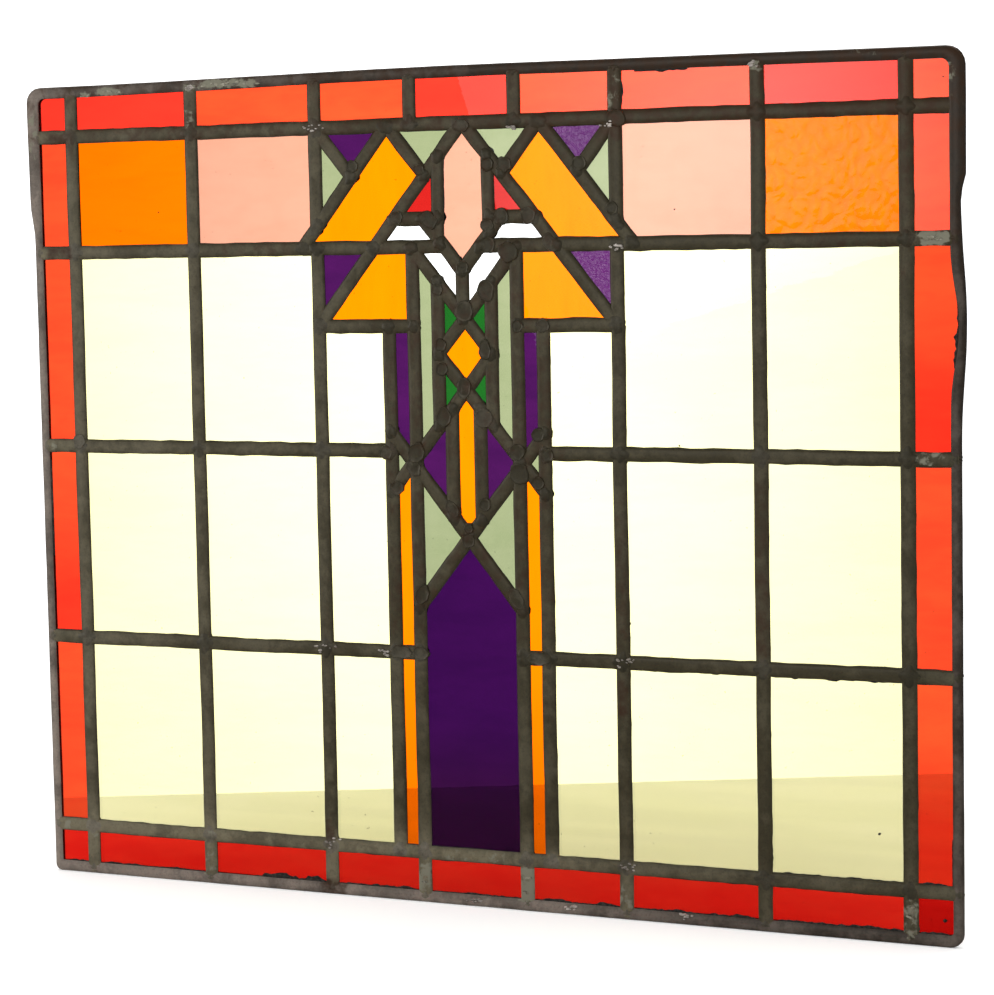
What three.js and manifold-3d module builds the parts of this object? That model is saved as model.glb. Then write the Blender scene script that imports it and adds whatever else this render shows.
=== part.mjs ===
// Leaded glass window panel.
//
// A small casement light made the traditional way: a net of H-section lead cames holds flat panes of
// coloured glass, every crossing is soldered, and a lead border closes the four sides.  The field is a
// plain grid of pale panes inside a red border, with a symmetrical ornament of straight-cut coloured
// glass down the middle.  The panel has no frame of its own: it is bedded by its edges in a sash.
//
// Millimetres.  X runs across the panel, Z up it, and -Y is its front.  The origin is in the middle of
// the bottom edge, which is the face that sits in the sash.
//
// The net is one soldered piece and every pane is a piece of its own.  The twenty-nine smallest panes of
// the ornament are not solids here: their openings in the net are left empty, at their true size.

import * as THREE from 'three';
import { mergeVertices } from 'three/addons/utils/BufferGeometryUtils.js';
import Module from 'manifold-3d';

const wasm = await Module();
wasm.setup();

// ---------------------------------------------------------------- driving dimensions

// The came: two flanges, slightly domed, joined by a heart that separates neighbouring panes.
const CAME_FACE = 8;
const CAME_DEPTH = 5.6;
const CHANNEL = 3.6;
const HEART = 1.8;
const FLANGE_EDGE = 0.5;
const FLANGE_FLAT = 4.4;

// The border came is folded shut outside, so it has a wall there and a channel only towards the glass.
const BORDER_WALL = 1.8;
const BORDER_FACE_SIDES = 5.2;
const BORDER_FACE_ENDS = 6.6;

const GLASS = 3;
const EDGE_CLEARANCE = 0.6;

// Overall outline, from the centre line to each side and from the bottom edge to the top edge.
const LEFT_SIDE = 293.6;
const RIGHT_SIDE = 295.4;
const PANEL_HEIGHT = 490;
const CORNER_RADIUS = { topLeft: 9, topRight: 10, bottomLeft: 4, bottomRight: 7 };

// The lead has been pushed about by hand.  Each swelling is a smooth bump on one side of the outline.
const LEFT_HEAD_SWELL = { at: 470, reach: 58, height: 2.8 };
const RIGHT_HEAD_SWELL = { at: 464, reach: 40, height: 2.9 };
const RIGHT_BULGE = { at: 343, reach: 66, height: 3 };
const RIGHT_BULGE_OPENING = { at: 341, reach: 44, height: 4.6 };
const TOP_BOW = { at: 0, reach: 285, height: 1.8 };

// The grid: three columns each side of the middle, and rows counted from the bottom.
const COLUMNS = [96, 180.7, 265.5];
const SILL = 30;
const PANE_HEIGHT = 119.5;
const LOW = SILL + PANE_HEIGHT;
const MIDDLE = LOW + PANE_HEIGHT;
const HIGH = MIDDLE + PANE_HEIGHT;
const HEAD = HIGH + 71;

// The ornament.  Both halves mirror each other about the middle, apart from the joints of the centre
// line above the spear, which sit a little to the left.
const CENTRE = -1.2;
const STRIP_OUTER = 49.5;
const STRIP_INNER = 33.3;
const SHOULDER = 342.5;
const COLLAR = 405;
const ROOF_APEX = 0.5;
const ROOF_FORK = 48.5;
const OUTER_FOOT = 106;
const INNER_VALLEY = 24.6;
const OUTER_VALLEY = 72.3;
const HEXAGON_SIDE = { top: 15.8, foot: 16.6 };
const HEXAGON_FOOT = 374;
const HEXAGON_FOOT_SPREAD = 25;
const UPPER_KNOT = 346.2;
const SIDE_KNOT = 326;
const SIDE_UPRIGHT = { left: 17.5, right: 16.8 };
const BRACE_FOOT = 245.2;
const LONG_CROSS = 218.4;
const LONG_CROSS_TOP = 280.3;
const SPEAR_SIDE = { left: 9.6, right: 8.6 };

// ---------------------------------------------------------------- points and lines in the panel plane

// Z on the line through two points, at a given X.
function zOn([[x0, z0], [x1, z1]], x) {
  return z0 + ((z1 - z0) * (x - x0)) / (x1 - x0);
}

// X on the line through two points, at a given Z.
function xOn([[x0, z0], [x1, z1]], z) {
  return x0 + ((x1 - x0) * (z - z0)) / (z1 - z0);
}

// The point where two lines cross, neither of them upright.
function crossing(first, second) {
  const [rise, otherRise] = [first, second].map((line) => zOn(line, 1) - zOn(line, 0));
  const x = (zOn(second, 0) - zOn(first, 0)) / (rise - otherRise);
  return [x, zOn(first, x)];
}

const upright = (x, low, high) => [[x, low], [x, high]];
const level = (z, from, to) => [[from, z], [to, z]];

// Keeps the part of an outline on the seed's side of a line, set back from the line by a clearance.
function clip(outline, [[x0, z0], [x1, z1]], seed, clearance) {
  const length = Math.hypot(x1 - x0, z1 - z0);
  const distance = ([x, z]) => ((x1 - x0) * (z - z0) - (z1 - z0) * (x - x0)) / length;
  const side = Math.sign(distance(seed));
  const inside = (point) => side * distance(point) - clearance;
  const kept = [];
  outline.forEach((point, index) => {
    const next = outline[(index + 1) % outline.length];
    const here = inside(point);
    const there = inside(next);
    if (here >= 0) {
      kept.push(point);
    }
    if (here * there < 0) {
      const t = here / (here - there);
      kept.push([point[0] + (next[0] - point[0]) * t, point[1] + (next[1] - point[1]) * t]);
    }
  });
  return kept;
}

// ---------------------------------------------------------------- the outline of the whole panel

// A smooth bump, one at its middle and nothing past its reach.
function bump({ at, reach, height }, where) {
  const t = Math.abs(where - at) / reach;
  return t < 1 ? height * Math.cos((Math.PI / 2) * t) ** 2 : 0;
}

const leftSide = (z) => -LEFT_SIDE - bump(LEFT_HEAD_SWELL, z);
const rightSide = (z) => RIGHT_SIDE + bump(RIGHT_HEAD_SWELL, z) + bump(RIGHT_BULGE, z);
const topSide = (x) => PANEL_HEIGHT + bump(TOP_BOW, x);

// A rounded corner about a centre, from one angle to the next.
function corner([x, z], radius, startDegrees, steps) {
  return Array.from({ length: steps + 1 }, (_, step) => {
    const angle = THREE.MathUtils.degToRad(startDegrees + (90 * step) / steps);
    return [x + radius * Math.cos(angle), z + radius * Math.sin(angle)];
  });
}

// Evenly spaced values strictly between two limits.
function between(from, to, count) {
  return Array.from({ length: count }, (_, step) => from + ((to - from) * (step + 1)) / (count + 1));
}

// The panel's outline moved inwards, counter-clockwise from the bottom edge.  The sides and the ends
// may be moved by different amounts, and the right side may open out further behind its bulge.
function panelOutline(insetSides, insetEnds, opening = () => 0) {
  const radius = (name) => Math.max(CORNER_RADIUS[name] - insetSides, 0.6);
  const right = (z) => rightSide(z) - insetSides + opening(z);
  const left = (z) => leftSide(z) + insetSides;
  const top = (x) => topSide(x) - insetEnds;
  const bottomRight = [right(0) - radius('bottomRight'), insetEnds + radius('bottomRight')];
  const topRight = [right(PANEL_HEIGHT - 12) - radius('topRight'), top(290) - radius('topRight')];
  const topLeft = [left(PANEL_HEIGHT - 12) + radius('topLeft'), top(-290) - radius('topLeft')];
  const bottomLeft = [left(0) + radius('bottomLeft'), insetEnds + radius('bottomLeft')];
  return [
    ...corner(bottomRight, radius('bottomRight'), -90, 4),
    ...between(bottomRight[1], topRight[1], 24).map((z) => [right(z), z]),
    ...corner(topRight, radius('topRight'), 0, 4),
    ...between(topRight[0], topLeft[0], 8).map((x) => [x, top(x)]),
    ...corner(topLeft, radius('topLeft'), 90, 4),
    ...between(topLeft[1], bottomLeft[1], 12).map((z) => [left(z), z]),
    ...corner(bottomLeft, radius('bottomLeft'), 180, 4),
  ];
}

// ---------------------------------------------------------------- solids

// A flat plate of the given outline, centred on the panel's middle plane.
function plate(outline, thickness) {
  const shape = new THREE.Shape(outline.map(([x, z]) => new THREE.Vector2(x, z)));
  const geometry = new THREE.ExtrudeGeometry(shape, { depth: thickness, bevelEnabled: false });
  geometry.rotateX(Math.PI / 2);
  geometry.translate(0, thickness / 2, 0);
  return geometry;
}

function toSolid(geometry) {
  const bare = geometry.clone();
  bare.deleteAttribute('normal');
  bare.deleteAttribute('uv');
  const merged = mergeVertices(bare, 1e-4);
  return new wasm.Manifold(new wasm.Mesh({
    numProp: 3,
    vertProperties: new Float32Array(merged.attributes.position.array),
    triVerts: new Uint32Array(merged.index.array),
  }));
}

function toGeometry(solid) {
  const mesh = solid.getMesh();
  const geometry = new THREE.BufferGeometry();
  geometry.setAttribute('position', new THREE.BufferAttribute(mesh.vertProperties, 3));
  geometry.setIndex(new THREE.BufferAttribute(mesh.triVerts, 1));
  geometry.computeVertexNormals();
  return geometry;
}

// The came's cross-section: half of it by its corners, the other half turned about the middle.
function cameSection() {
  const face = CAME_FACE / 2;
  const flat = FLANGE_FLAT / 2;
  const inner = CHANNEL / 2;
  const outer = CAME_DEPTH / 2;
  const front = [
    [HEART / 2, inner],
    [face, inner],
    [face, inner + FLANGE_EDGE],
    [flat, outer],
    [-flat, outer],
    [-face, inner + FLANGE_EDGE],
    [-face, inner],
    [-HEART / 2, inner],
  ];
  const back = front.map(([u, v]) => [-u, -v]);
  return new THREE.Shape([...front, ...back].map(([u, v]) => new THREE.Vector2(u, v)));
}

const section = cameSection();

// One straight strip of came between two points of the panel plane.
function came([[x0, z0], [x1, z1]]) {
  const along = new THREE.Vector3(x1 - x0, 0, z1 - z0);
  const depth = along.length();
  along.normalize();
  const across = new THREE.Vector3(along.z, 0, -along.x);
  const geometry = new THREE.ExtrudeGeometry(section, { depth, bevelEnabled: false });
  geometry.applyMatrix4(new THREE.Matrix4().makeBasis(across, new THREE.Vector3(0, 1, 0), along));
  geometry.translate(x0, 0, z0);
  return toSolid(geometry);
}

// ---------------------------------------------------------------- the lead lines

const sides = { left: -1, right: 1 };
const otherSide = { left: 'right', right: 'left' };

// The ornament's lines on one side of the middle.
function ornamentLines(side) {
  const s = sides[side];
  const roof = [[s * ROOF_APEX, HEAD], [s * COLUMNS[0], SHOULDER]];
  const outerRoof = [[s * ROOF_FORK, HEAD], [s * OUTER_FOOT, HIGH]];
  const foot = [[CENTRE, HEXAGON_FOOT], [CENTRE + s * HEXAGON_FOOT_SPREAD, COLLAR]];
  const farKnot = [-s * SIDE_UPRIGHT[otherSide[side]], SIDE_KNOT];
  const upperCross = [farKnot, [s * (STRIP_INNER + 1), HIGH]];
  const lowerCross = [farKnot, [s * STRIP_OUTER, BRACE_FOOT]];
  const longCross = [[s * STRIP_OUTER, LONG_CROSS_TOP], [0, LONG_CROSS]];
  const hexagonTop = [s * HEXAGON_SIDE.top, zOn(roof, s * HEXAGON_SIDE.top)];
  const hexagonFoot = [s * HEXAGON_SIDE.foot, zOn(foot, s * HEXAGON_SIDE.foot)];
  const spear = s * SPEAR_SIDE[side];
  const sideX = s * SIDE_UPRIGHT[side];
  return {
    roof,
    outerRoof,
    innerValley: [[s * ROOF_FORK, HEAD], [s * INNER_VALLEY, zOn(roof, s * INNER_VALLEY)]],
    outerValley: [[s * COLUMNS[0], HEAD], [s * OUTER_VALLEY, zOn(outerRoof, s * OUTER_VALLEY)]],
    hexagonSide: [hexagonTop, hexagonFoot],
    collar: level(COLLAR, xOn(roof, COLLAR), s * HEXAGON_SIDE.foot),
    foot,
    high: level(HIGH, s * OUTER_FOOT, xOn(foot, HIGH)),
    shoulder: level(SHOULDER, s * COLUMNS[0], s * STRIP_INNER),
    upperCross,
    lowerCross,
    sideUpright: upright(sideX, zOn(lowerCross, sideX), zOn(upperCross, sideX)),
    longCross: [longCross[0], [-s * STRIP_INNER, zOn(longCross, -s * STRIP_INNER)]],
    spearSide: upright(spear, zOn(longCross, spear), zOn(lowerCross, spear)),
    stripOuter: upright(s * STRIP_OUTER, SILL, SHOULDER),
    stripInner: upright(s * STRIP_INNER, SILL, HIGH),
    middle: level(MIDDLE, s * COLUMNS[0], s * STRIP_OUTER),
    low: level(LOW, s * COLUMNS[0], s * STRIP_INNER),
  };
}

const ornament = { left: ornamentLines('left'), right: ornamentLines('right') };
const centreUpright = upright(CENTRE, UPPER_KNOT, HEXAGON_FOOT);

// The grid's lines.  They run out into the wall of the border came, and the columns beside the
// ornament stop where its sloping roof takes over.
function gridLines() {
  const wall = BORDER_WALL / 2;
  const leftEnd = -LEFT_SIDE + wall;
  const rightEnd = RIGHT_SIDE - wall;
  const top = PANEL_HEIGHT - wall;
  const lines = [level(SILL, leftEnd, rightEnd), level(HEAD, leftEnd, rightEnd)];
  for (const z of [LOW, MIDDLE, HIGH]) {
    lines.push(level(z, leftEnd, -COLUMNS[0]), level(z, COLUMNS[0], rightEnd));
  }
  for (const [side, s] of Object.entries(sides)) {
    lines.push(upright(s * COLUMNS[2], wall, top), upright(s * COLUMNS[1], wall, top));
    lines.push(upright(s * COLUMNS[0], wall, HIGH));
    lines.push(upright(s * COLUMNS[0], zOn(ornament[side].outerRoof, s * COLUMNS[0]), top));
    lines.push(upright(s * STRIP_INNER, wall, SILL), upright(s * STRIP_INNER, HEAD, top));
  }
  return lines;
}

const leadLines = [
  ...gridLines(),
  ...Object.values(ornament.left),
  ...Object.values(ornament.right),
  centreUpright,
];

// ---------------------------------------------------------------- the lead net

// The border: a solid plate of the panel, opened to show the glass and grooved all round inside.
function borderCame() {
  const opening = (z) => bump(RIGHT_BULGE_OPENING, z) - bump(RIGHT_BULGE, z);
  const body = toSolid(plate(panelOutline(0, 0), CAME_DEPTH));
  const sight = toSolid(plate(panelOutline(BORDER_FACE_SIDES, BORDER_FACE_ENDS, opening), CAME_DEPTH + 2));
  const groove = toSolid(plate(panelOutline(BORDER_WALL, BORDER_WALL), CHANNEL));
  return body.subtract(sight).subtract(groove);
}

// Where three cames leave a triangle too small for glass, the solder fills it from face to face.
function solderFills(side) {
  const { foot, hexagonSide, lowerCross, longCross, stripInner } = ornament[side];
  const inner = stripInner[0][0];
  const onStrip = [[inner, zOn(lowerCross, inner)], [inner, zOn(longCross, inner)]];
  const besideHexagon = [[xOn(foot, COLLAR), COLLAR], [hexagonSide[1][0], COLLAR], hexagonSide[1]];
  const besideStrip = [crossing(lowerCross, longCross), ...onStrip];
  return [besideHexagon, besideStrip].map((outline) => toSolid(plate(outline, CAME_DEPTH)));
}

function leadNet() {
  const pieces = [...leadLines.map(came), ...solderFills('left'), ...solderFills('right')];
  return toGeometry(pieces.reduce((net, piece) => net.add(piece), borderCame()));
}

// ---------------------------------------------------------------- the panes

// A pane's outline: everything inside the border, cut back to the lead lines round a seed point.
function paneOutline(seed, lines) {
  const inset = BORDER_WALL + EDGE_CLEARANCE;
  const whole = panelOutline(inset, inset);
  return lines.reduce((outline, line) => clip(outline, line, seed, HEART / 2 + EDGE_CLEARANCE), whole);
}

const endless = { row: (z) => level(z, -1, 1), column: (x) => upright(x, 0, 1) };

const panes = [];

function addPane(name, colour, seed, lines) {
  panes.push({ name, colour, outline: paneOutline(seed, lines) });
}

// The red border strip: a corner pane at each corner, and a run of panes along each side.
function addBorderPanes() {
  const splits = [-COLUMNS[2], -COLUMNS[1], -COLUMNS[0], -STRIP_INNER];
  const columns = [...splits, ...splits.map((x) => -x).reverse()];
  const rows = [SILL, LOW, MIDDLE, HIGH, HEAD];
  const ends = { bottom: SILL, top: HEAD };
  for (const [end, z] of Object.entries(ends)) {
    const seedZ = end === 'bottom' ? z - 10 : z + 10;
    for (const [side, s] of Object.entries(sides)) {
      const lines = [endless.row(z), endless.column(s * COLUMNS[2])];
      addPane(`red_corner_${end}_${side}`, 'red', [s * (COLUMNS[2] + 10), seedZ], lines);
    }
    for (let i = 0; i + 1 < columns.length; i += 1) {
      const lines = [endless.row(z), endless.column(columns[i]), endless.column(columns[i + 1])];
      const seed = [(columns[i] + columns[i + 1]) / 2, seedZ];
      addPane(`red_${end}_${i + 1}`, 'red', seed, lines);
    }
  }
  for (const [side, s] of Object.entries(sides)) {
    for (let i = 0; i + 1 < rows.length; i += 1) {
      const lines = [endless.column(s * COLUMNS[2]), endless.row(rows[i]), endless.row(rows[i + 1])];
      addPane(`red_${side}_${i + 1}`, 'red', [s * (COLUMNS[2] + 10), (rows[i] + rows[i + 1]) / 2], lines);
    }
  }
}

// The field: three rows of pale panes, and a row of orange and pink ones above them.
function addFieldPanes() {
  const rows = [SILL, LOW, MIDDLE, HIGH];
  for (const [side, s] of Object.entries(sides)) {
    const columns = COLUMNS.map((x) => endless.column(s * x));
    for (let i = 0; i + 1 < rows.length; i += 1) {
      const lines = [endless.row(rows[i]), endless.row(rows[i + 1])];
      const seedZ = rows[i] + 20;
      const narrowTop = i === 2 ? endless.row(SHOULDER) : lines[1];
      const narrow = [lines[0], narrowTop, columns[0], endless.column(s * STRIP_OUTER)];
      addPane(`pale_outer_${side}_${i + 1}`, 'straw', [s * 220, seedZ], [...lines, columns[2], columns[1]]);
      addPane(`pale_inner_${side}_${i + 1}`, 'straw', [s * 140, seedZ], [...lines, columns[1], columns[0]]);
      addPane(`pale_narrow_${side}_${i + 1}`, 'straw', [s * 70, seedZ], narrow);
    }
    const top = [endless.row(HIGH), endless.row(HEAD)];
    const pink = [...top, columns[1], columns[0], ornament[side].outerRoof];
    addPane(`orange_top_${side}`, 'orange', [s * 220, HIGH + 30], [...top, columns[2], columns[1]]);
    addPane(`pink_top_${side}`, 'pink', [s * 140, HIGH + 30], pink);
  }
}

// The ornament's larger panes.
function addOrnamentPanes() {
  const { left, right } = ornament;
  const hexagon = [left.roof, right.roof, left.hexagonSide, right.hexagonSide, left.foot, right.foot];
  const spearSides = [left.spearSide, right.spearSide];
  const spear = [left.lowerCross, right.lowerCross, ...spearSides, left.longCross, right.longCross];
  const blade = [left.stripInner, right.stripInner, left.longCross, right.longCross, endless.row(SILL)];
  addPane('pink_hexagon', 'pink', [0, 420], hexagon);
  addPane('orange_spear', 'orange', [0, 260], spear);
  addPane('purple_blade', 'purple', [0, 100], blade);
  for (const [side, s] of Object.entries(sides)) {
    const { roof, outerRoof, innerValley, stripInner, stripOuter, lowerCross, longCross } = ornament[side];
    const wing = [outerRoof, innerValley, roof, endless.row(HIGH)];
    const shoulder = [roof, stripInner, endless.row(HIGH), endless.row(SHOULDER)];
    const strip = [stripInner, stripOuter, endless.row(LOW)];
    const stripSeed = s * ((STRIP_INNER + STRIP_OUTER) / 2);
    addPane(`orange_wing_${side}`, 'orange', [s * 60, 415], wing);
    addPane(`orange_shoulder_${side}`, 'orange', [s * 50, 365], shoulder);
    addPane(`orange_strip_upper_${side}`, 'orange', [stripSeed, 200], [...strip, lowerCross, longCross]);
    addPane(`orange_strip_lower_${side}`, 'orange', [stripSeed, 90], [...strip, endless.row(SILL)]);
  }
}

addBorderPanes();
addFieldPanes();
addOrnamentPanes();

// ---------------------------------------------------------------- finishes and the finished panel

const LEAD = { color: 0x4a453c, roughness: 0.75, metalness: 0.6 };
const GLASS_COLOURS = {
  red: 0xf0301c,
  straw: 0xfbf8dc,
  orange: 0xff9d12,
  pink: 0xf9bf9c,
  purple: 0x4a0c66,
};

function glassMaterial(colour) {
  return new THREE.MeshStandardMaterial({
    color: GLASS_COLOURS[colour],
    roughness: 0.08,
    metalness: 0,
    transparent: true,
    opacity: 0.6,
  });
}

function paneMesh({ name, colour, outline }) {
  const geometry = plate(outline, GLASS);
  geometry.computeBoundingBox();
  const centre = geometry.boundingBox.getCenter(new THREE.Vector3());
  geometry.translate(-centre.x, -centre.y, -centre.z);
  const mesh = new THREE.Mesh(geometry, glassMaterial(colour));
  mesh.name = name;
  mesh.position.copy(centre);
  return mesh;
}

const lead = new THREE.Mesh(leadNet(), new THREE.MeshStandardMaterial(LEAD));
lead.name = 'lead_net';

const glazing = new THREE.Group();
glazing.name = 'glazing';
glazing.add(...panes.map(paneMesh));

const panel = new THREE.Group();
panel.name = 'leaded_glass_window';
panel.add(lead, glazing);

export default panel;
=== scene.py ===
# %% [markdown]
# # A leaded glass window, one bench job at a time
# The window is a small casement light of the years between the wars. A net of soft lead strips,
# called cames, holds flat panes of coloured glass, and solder joins the cames at every crossing.
# The imported model already has the net and the larger panes at their true sizes, so everything here
# is placed from it.

import math

import bmesh
import bpy
from mathutils import Matrix, Vector, noise


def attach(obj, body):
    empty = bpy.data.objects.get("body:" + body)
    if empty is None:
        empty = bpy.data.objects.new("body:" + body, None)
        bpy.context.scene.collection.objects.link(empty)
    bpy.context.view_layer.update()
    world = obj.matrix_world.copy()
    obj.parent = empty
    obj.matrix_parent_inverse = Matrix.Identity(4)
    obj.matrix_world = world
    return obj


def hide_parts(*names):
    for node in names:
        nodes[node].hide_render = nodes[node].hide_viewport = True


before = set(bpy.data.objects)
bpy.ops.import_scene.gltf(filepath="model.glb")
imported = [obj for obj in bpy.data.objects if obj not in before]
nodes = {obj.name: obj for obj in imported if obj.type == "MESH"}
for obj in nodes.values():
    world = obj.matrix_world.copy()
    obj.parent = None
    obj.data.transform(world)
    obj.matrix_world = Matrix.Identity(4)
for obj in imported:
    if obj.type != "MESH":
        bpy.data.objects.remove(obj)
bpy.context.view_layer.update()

# %% [markdown]
# ## The camera
# The window is seen from a little to its right and a little above its middle, from one and three
# quarter metres away with a long lens. A camera looks along its own -Z with its own +Y upwards, so
# its turn is made from three directions at right angles: right, up, and backwards.

# %% Place the camera
scene = bpy.context.scene
CAMERA_PLACE = Vector((0.73175, -1.53329, 0.39739))
CAMERA_FORWARD = Vector((-0.42025, 0.90282, -0.09115)).normalized()
CAMERA_UP = Vector((-0.02070, 0.09089, 0.99565))
CAMERA_LENS = 105.69

camera_right = CAMERA_FORWARD.cross(CAMERA_UP).normalized()
camera_up = camera_right.cross(CAMERA_FORWARD)
camera_turn = Matrix((camera_right, camera_up, -CAMERA_FORWARD)).transposed().to_4x4()
camera = bpy.data.objects.new("camera", bpy.data.cameras.new("camera"))
camera.data.lens = CAMERA_LENS
camera.matrix_world = Matrix.Translation(CAMERA_PLACE) @ camera_turn
scene.collection.objects.link(camera)
scene.camera = camera
scene.view_settings.view_transform = "Standard"
print("camera lens:", CAMERA_LENS, "mm, distance:", round(CAMERA_PLACE.length, 3), "m")

# %% [markdown]
# ## Nodes in few words
# Every finish below is a small network of shader nodes. Two helpers keep that readable: one adds a
# node and fills its sockets, by a value or by a link, and one starts a group with named sockets.
# Small wrappers for the commonest nodes come between, so a recipe reads like a sentence.

# %% Helpers for node networks
def fill(tree, sockets, values):
    """Gives each named socket its value or its link."""
    for name, value in values.items():
        if isinstance(value, bpy.types.NodeSocket):
            tree.links.new(value, sockets[name])
        else:
            sockets[name].default_value = value


def place(tree, kind, values=None, **properties):
    """Adds a node, sets its properties and fills its sockets."""
    made = tree.nodes.new(kind)
    for name, value in properties.items():
        setattr(made, name, value)
    fill(tree, made.inputs, values or {})
    return made


def math_node(tree, operation, first, second=0.0, clamp=False):
    made = place(tree, "ShaderNodeMath", {0: first, 1: second}, operation=operation, use_clamp=clamp)
    return made.outputs[0]


def times(tree, first, second):
    return math_node(tree, "MULTIPLY", first, second)


def plus(tree, first, second, clamp=False):
    return math_node(tree, "ADD", first, second, clamp)


def spread(tree, value, low, high, to_low=0.0, to_high=1.0):
    """Stretches a value from one range to another, eased at both ends and kept inside."""
    ends = {"From Min": low, "From Max": high, "To Min": to_low, "To Max": to_high}
    made = place(tree, "ShaderNodeMapRange", {"Value": value, **ends}, interpolation_type="SMOOTHSTEP")
    return made.outputs["Result"]


def blend_colours(tree, factor, first, second, how="MIX"):
    made = place(tree, "ShaderNodeMix", {0: factor, 6: first, 7: second}, data_type="RGBA", blend_type=how)
    return made.outputs[2]


def speckle(tree, where, scale, detail=4.0, rough=0.6, twist=0.0):
    sockets = {"Vector": where, "Scale": scale, "Detail": detail, "Roughness": rough}
    made = place(tree, "ShaderNodeTexNoise", {**sockets, "Distortion": twist})
    return made.outputs["Fac"]


def stretched(tree, where, scale):
    made = place(tree, "ShaderNodeMapping", {"Vector": where, "Scale": scale})
    return made.outputs["Vector"]


print("node helpers ready")

# %% [markdown]
# A finish is a material with one shader, and its patterns are placed by Object coordinates, which stay
# with the piece when it moves. A grey made from a value, a bumpy surface's normal, and the question
# whether a ray has just been mirrored are each needed more than once, so they have names of their own.

# %% Helpers for finishes
def grey_of(tree, value):
    return place(tree, "ShaderNodeCombineColor", {0: value, 1: value, 2: value}).outputs[0]


def bumps(tree, height, depth, under=None):
    """The normal of a bumpy surface, on top of the bumps under it."""
    below = {"Normal": under} if under else {}
    return place(tree, "ShaderNodeBump", {"Height": height, "Distance": depth} | below).outputs["Normal"]


def was_mirrored(tree):
    """One for a ray that has just been mirrored. A ray inside glass counts as glossy, but not as this."""
    path = place(tree, "ShaderNodeLightPath").outputs
    return times(tree, path["Is Glossy Ray"], path["Is Reflection Ray"])


def start_look(name):
    """A new material, its nodes, its shader's sockets, and the place of a point on the piece itself."""
    look = bpy.data.materials.new(name)
    look.use_nodes = True
    tree = look.node_tree
    where = place(tree, "ShaderNodeTexCoord").outputs["Object"]
    return look, tree, tree.nodes["Principled BSDF"].inputs, where


print("finish helpers ready")


# %% Helpers for node groups
def new_group(name, inputs, outputs):
    """A node group with named inputs, each a kind and a starting value, and named outputs."""
    tree = bpy.data.node_groups.new(name, "ShaderNodeTree")
    for label, (kind, start) in inputs.items():
        socket = tree.interface.new_socket(label, in_out="INPUT", socket_type="NodeSocket" + kind)
        if start is not None:
            socket.default_value = start
    for label, kind in outputs.items():
        tree.interface.new_socket(label, in_out="OUTPUT", socket_type="NodeSocket" + kind)
    entry = tree.nodes.new("NodeGroupInput").outputs
    ending = tree.nodes.new("NodeGroupOutput").inputs
    return tree, entry, ending


def use_group(tree, group, values):
    return place(tree, "ShaderNodeGroup", values, node_tree=group).outputs


print("group helpers ready")

# %% [markdown]
# ## The studio
# Stained glass only shows its colours against the light, so the brightest thing in the studio is the
# backdrop, strongest behind the middle of the window. It is the world itself rather than a board,
# so that the window can also be seen from behind. What the glass mirrors is kept dim, as in a deep
# room, by asking whether a ray has just been mirrored. The table ends some forty centimetres behind
# the window, and its back edge shows through the lowest panes.

# %% The bright backdrop
GLOW_BEARING = math.radians(25.3)
GLOW_WIDTH = math.radians(6.5)
GLOW_HEIGHT = math.radians(9.0)
ROOT_TWO = 1.414
BACKDROP_BASE = 1.05
BACKDROP_GLOW = 1.15
FRONT_ROOM = 0.95
MIRRORED_SHARE = 0.03

world = bpy.data.worlds.new("studio")
scene.world = world
world.use_nodes = True
sky = world.node_tree
sky.nodes.clear()
towards = place(sky, "ShaderNodeTexCoord").outputs["Generated"]


def along(direction):
    made = place(sky, "ShaderNodeVectorMath", {0: towards, 1: direction}, operation="DOT_PRODUCT")
    return made.outputs["Value"]


def off_middle(direction, width):
    share = math_node(sky, "DIVIDE", along(direction), width * ROOT_TWO)
    return math_node(sky, "POWER", share, 2.0)


ahead = along((-math.sin(GLOW_BEARING), math.cos(GLOW_BEARING), 0))
off_side = off_middle((math.cos(GLOW_BEARING), math.sin(GLOW_BEARING), 0), GLOW_WIDTH)
falloff = times(sky, plus(sky, off_side, off_middle((0, 0, 1), GLOW_HEIGHT)), -1.0)
bell = times(sky, math_node(sky, "EXPONENT", falloff), BACKDROP_GLOW)
glow = times(sky, bell, spread(sky, ahead, 0.0, 0.3))
room = spread(sky, ahead, -0.3, 0.5, FRONT_ROOM, BACKDROP_BASE)
dimmed = math_node(sky, "SUBTRACT", 1.0, times(sky, was_mirrored(sky), 1 - MIRRORED_SHARE))
strength = times(sky, plus(sky, room, glow), dimmed)
background = place(sky, "ShaderNodeBackground", {"Color": (1, 1, 1, 1), "Strength": strength})
place(sky, "ShaderNodeOutputWorld", {"Surface": background.outputs[0]})
print("backdrop from", BACKDROP_BASE, "to", BACKDROP_BASE + BACKDROP_GLOW)

# %% [markdown]
# The table is one pale sheet, turned so that its back edge runs nearly level in the view, and so white
# that it melts into the backdrop. A grey sheet lies on it behind the window: it is painted shade,
# standing for the shade the window throws on the table, and is what shows through the lowest panes.
# It is cut on a slant, so that the window hides its two sides. Both are matt, with a faint cloudiness
# that keeps them from looking like paper, and the glass mirrors them dimly. A softbox stands to the
# left of the camera, leaning, and is what the upper right panes mirror. It is brightest in its
# middle, as a real one is, so its lamp has a few nodes of its own.

# %% A matt sheet
DIM_IN_GLASS = (0.03, 0.03, 0.03, 1)


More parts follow.
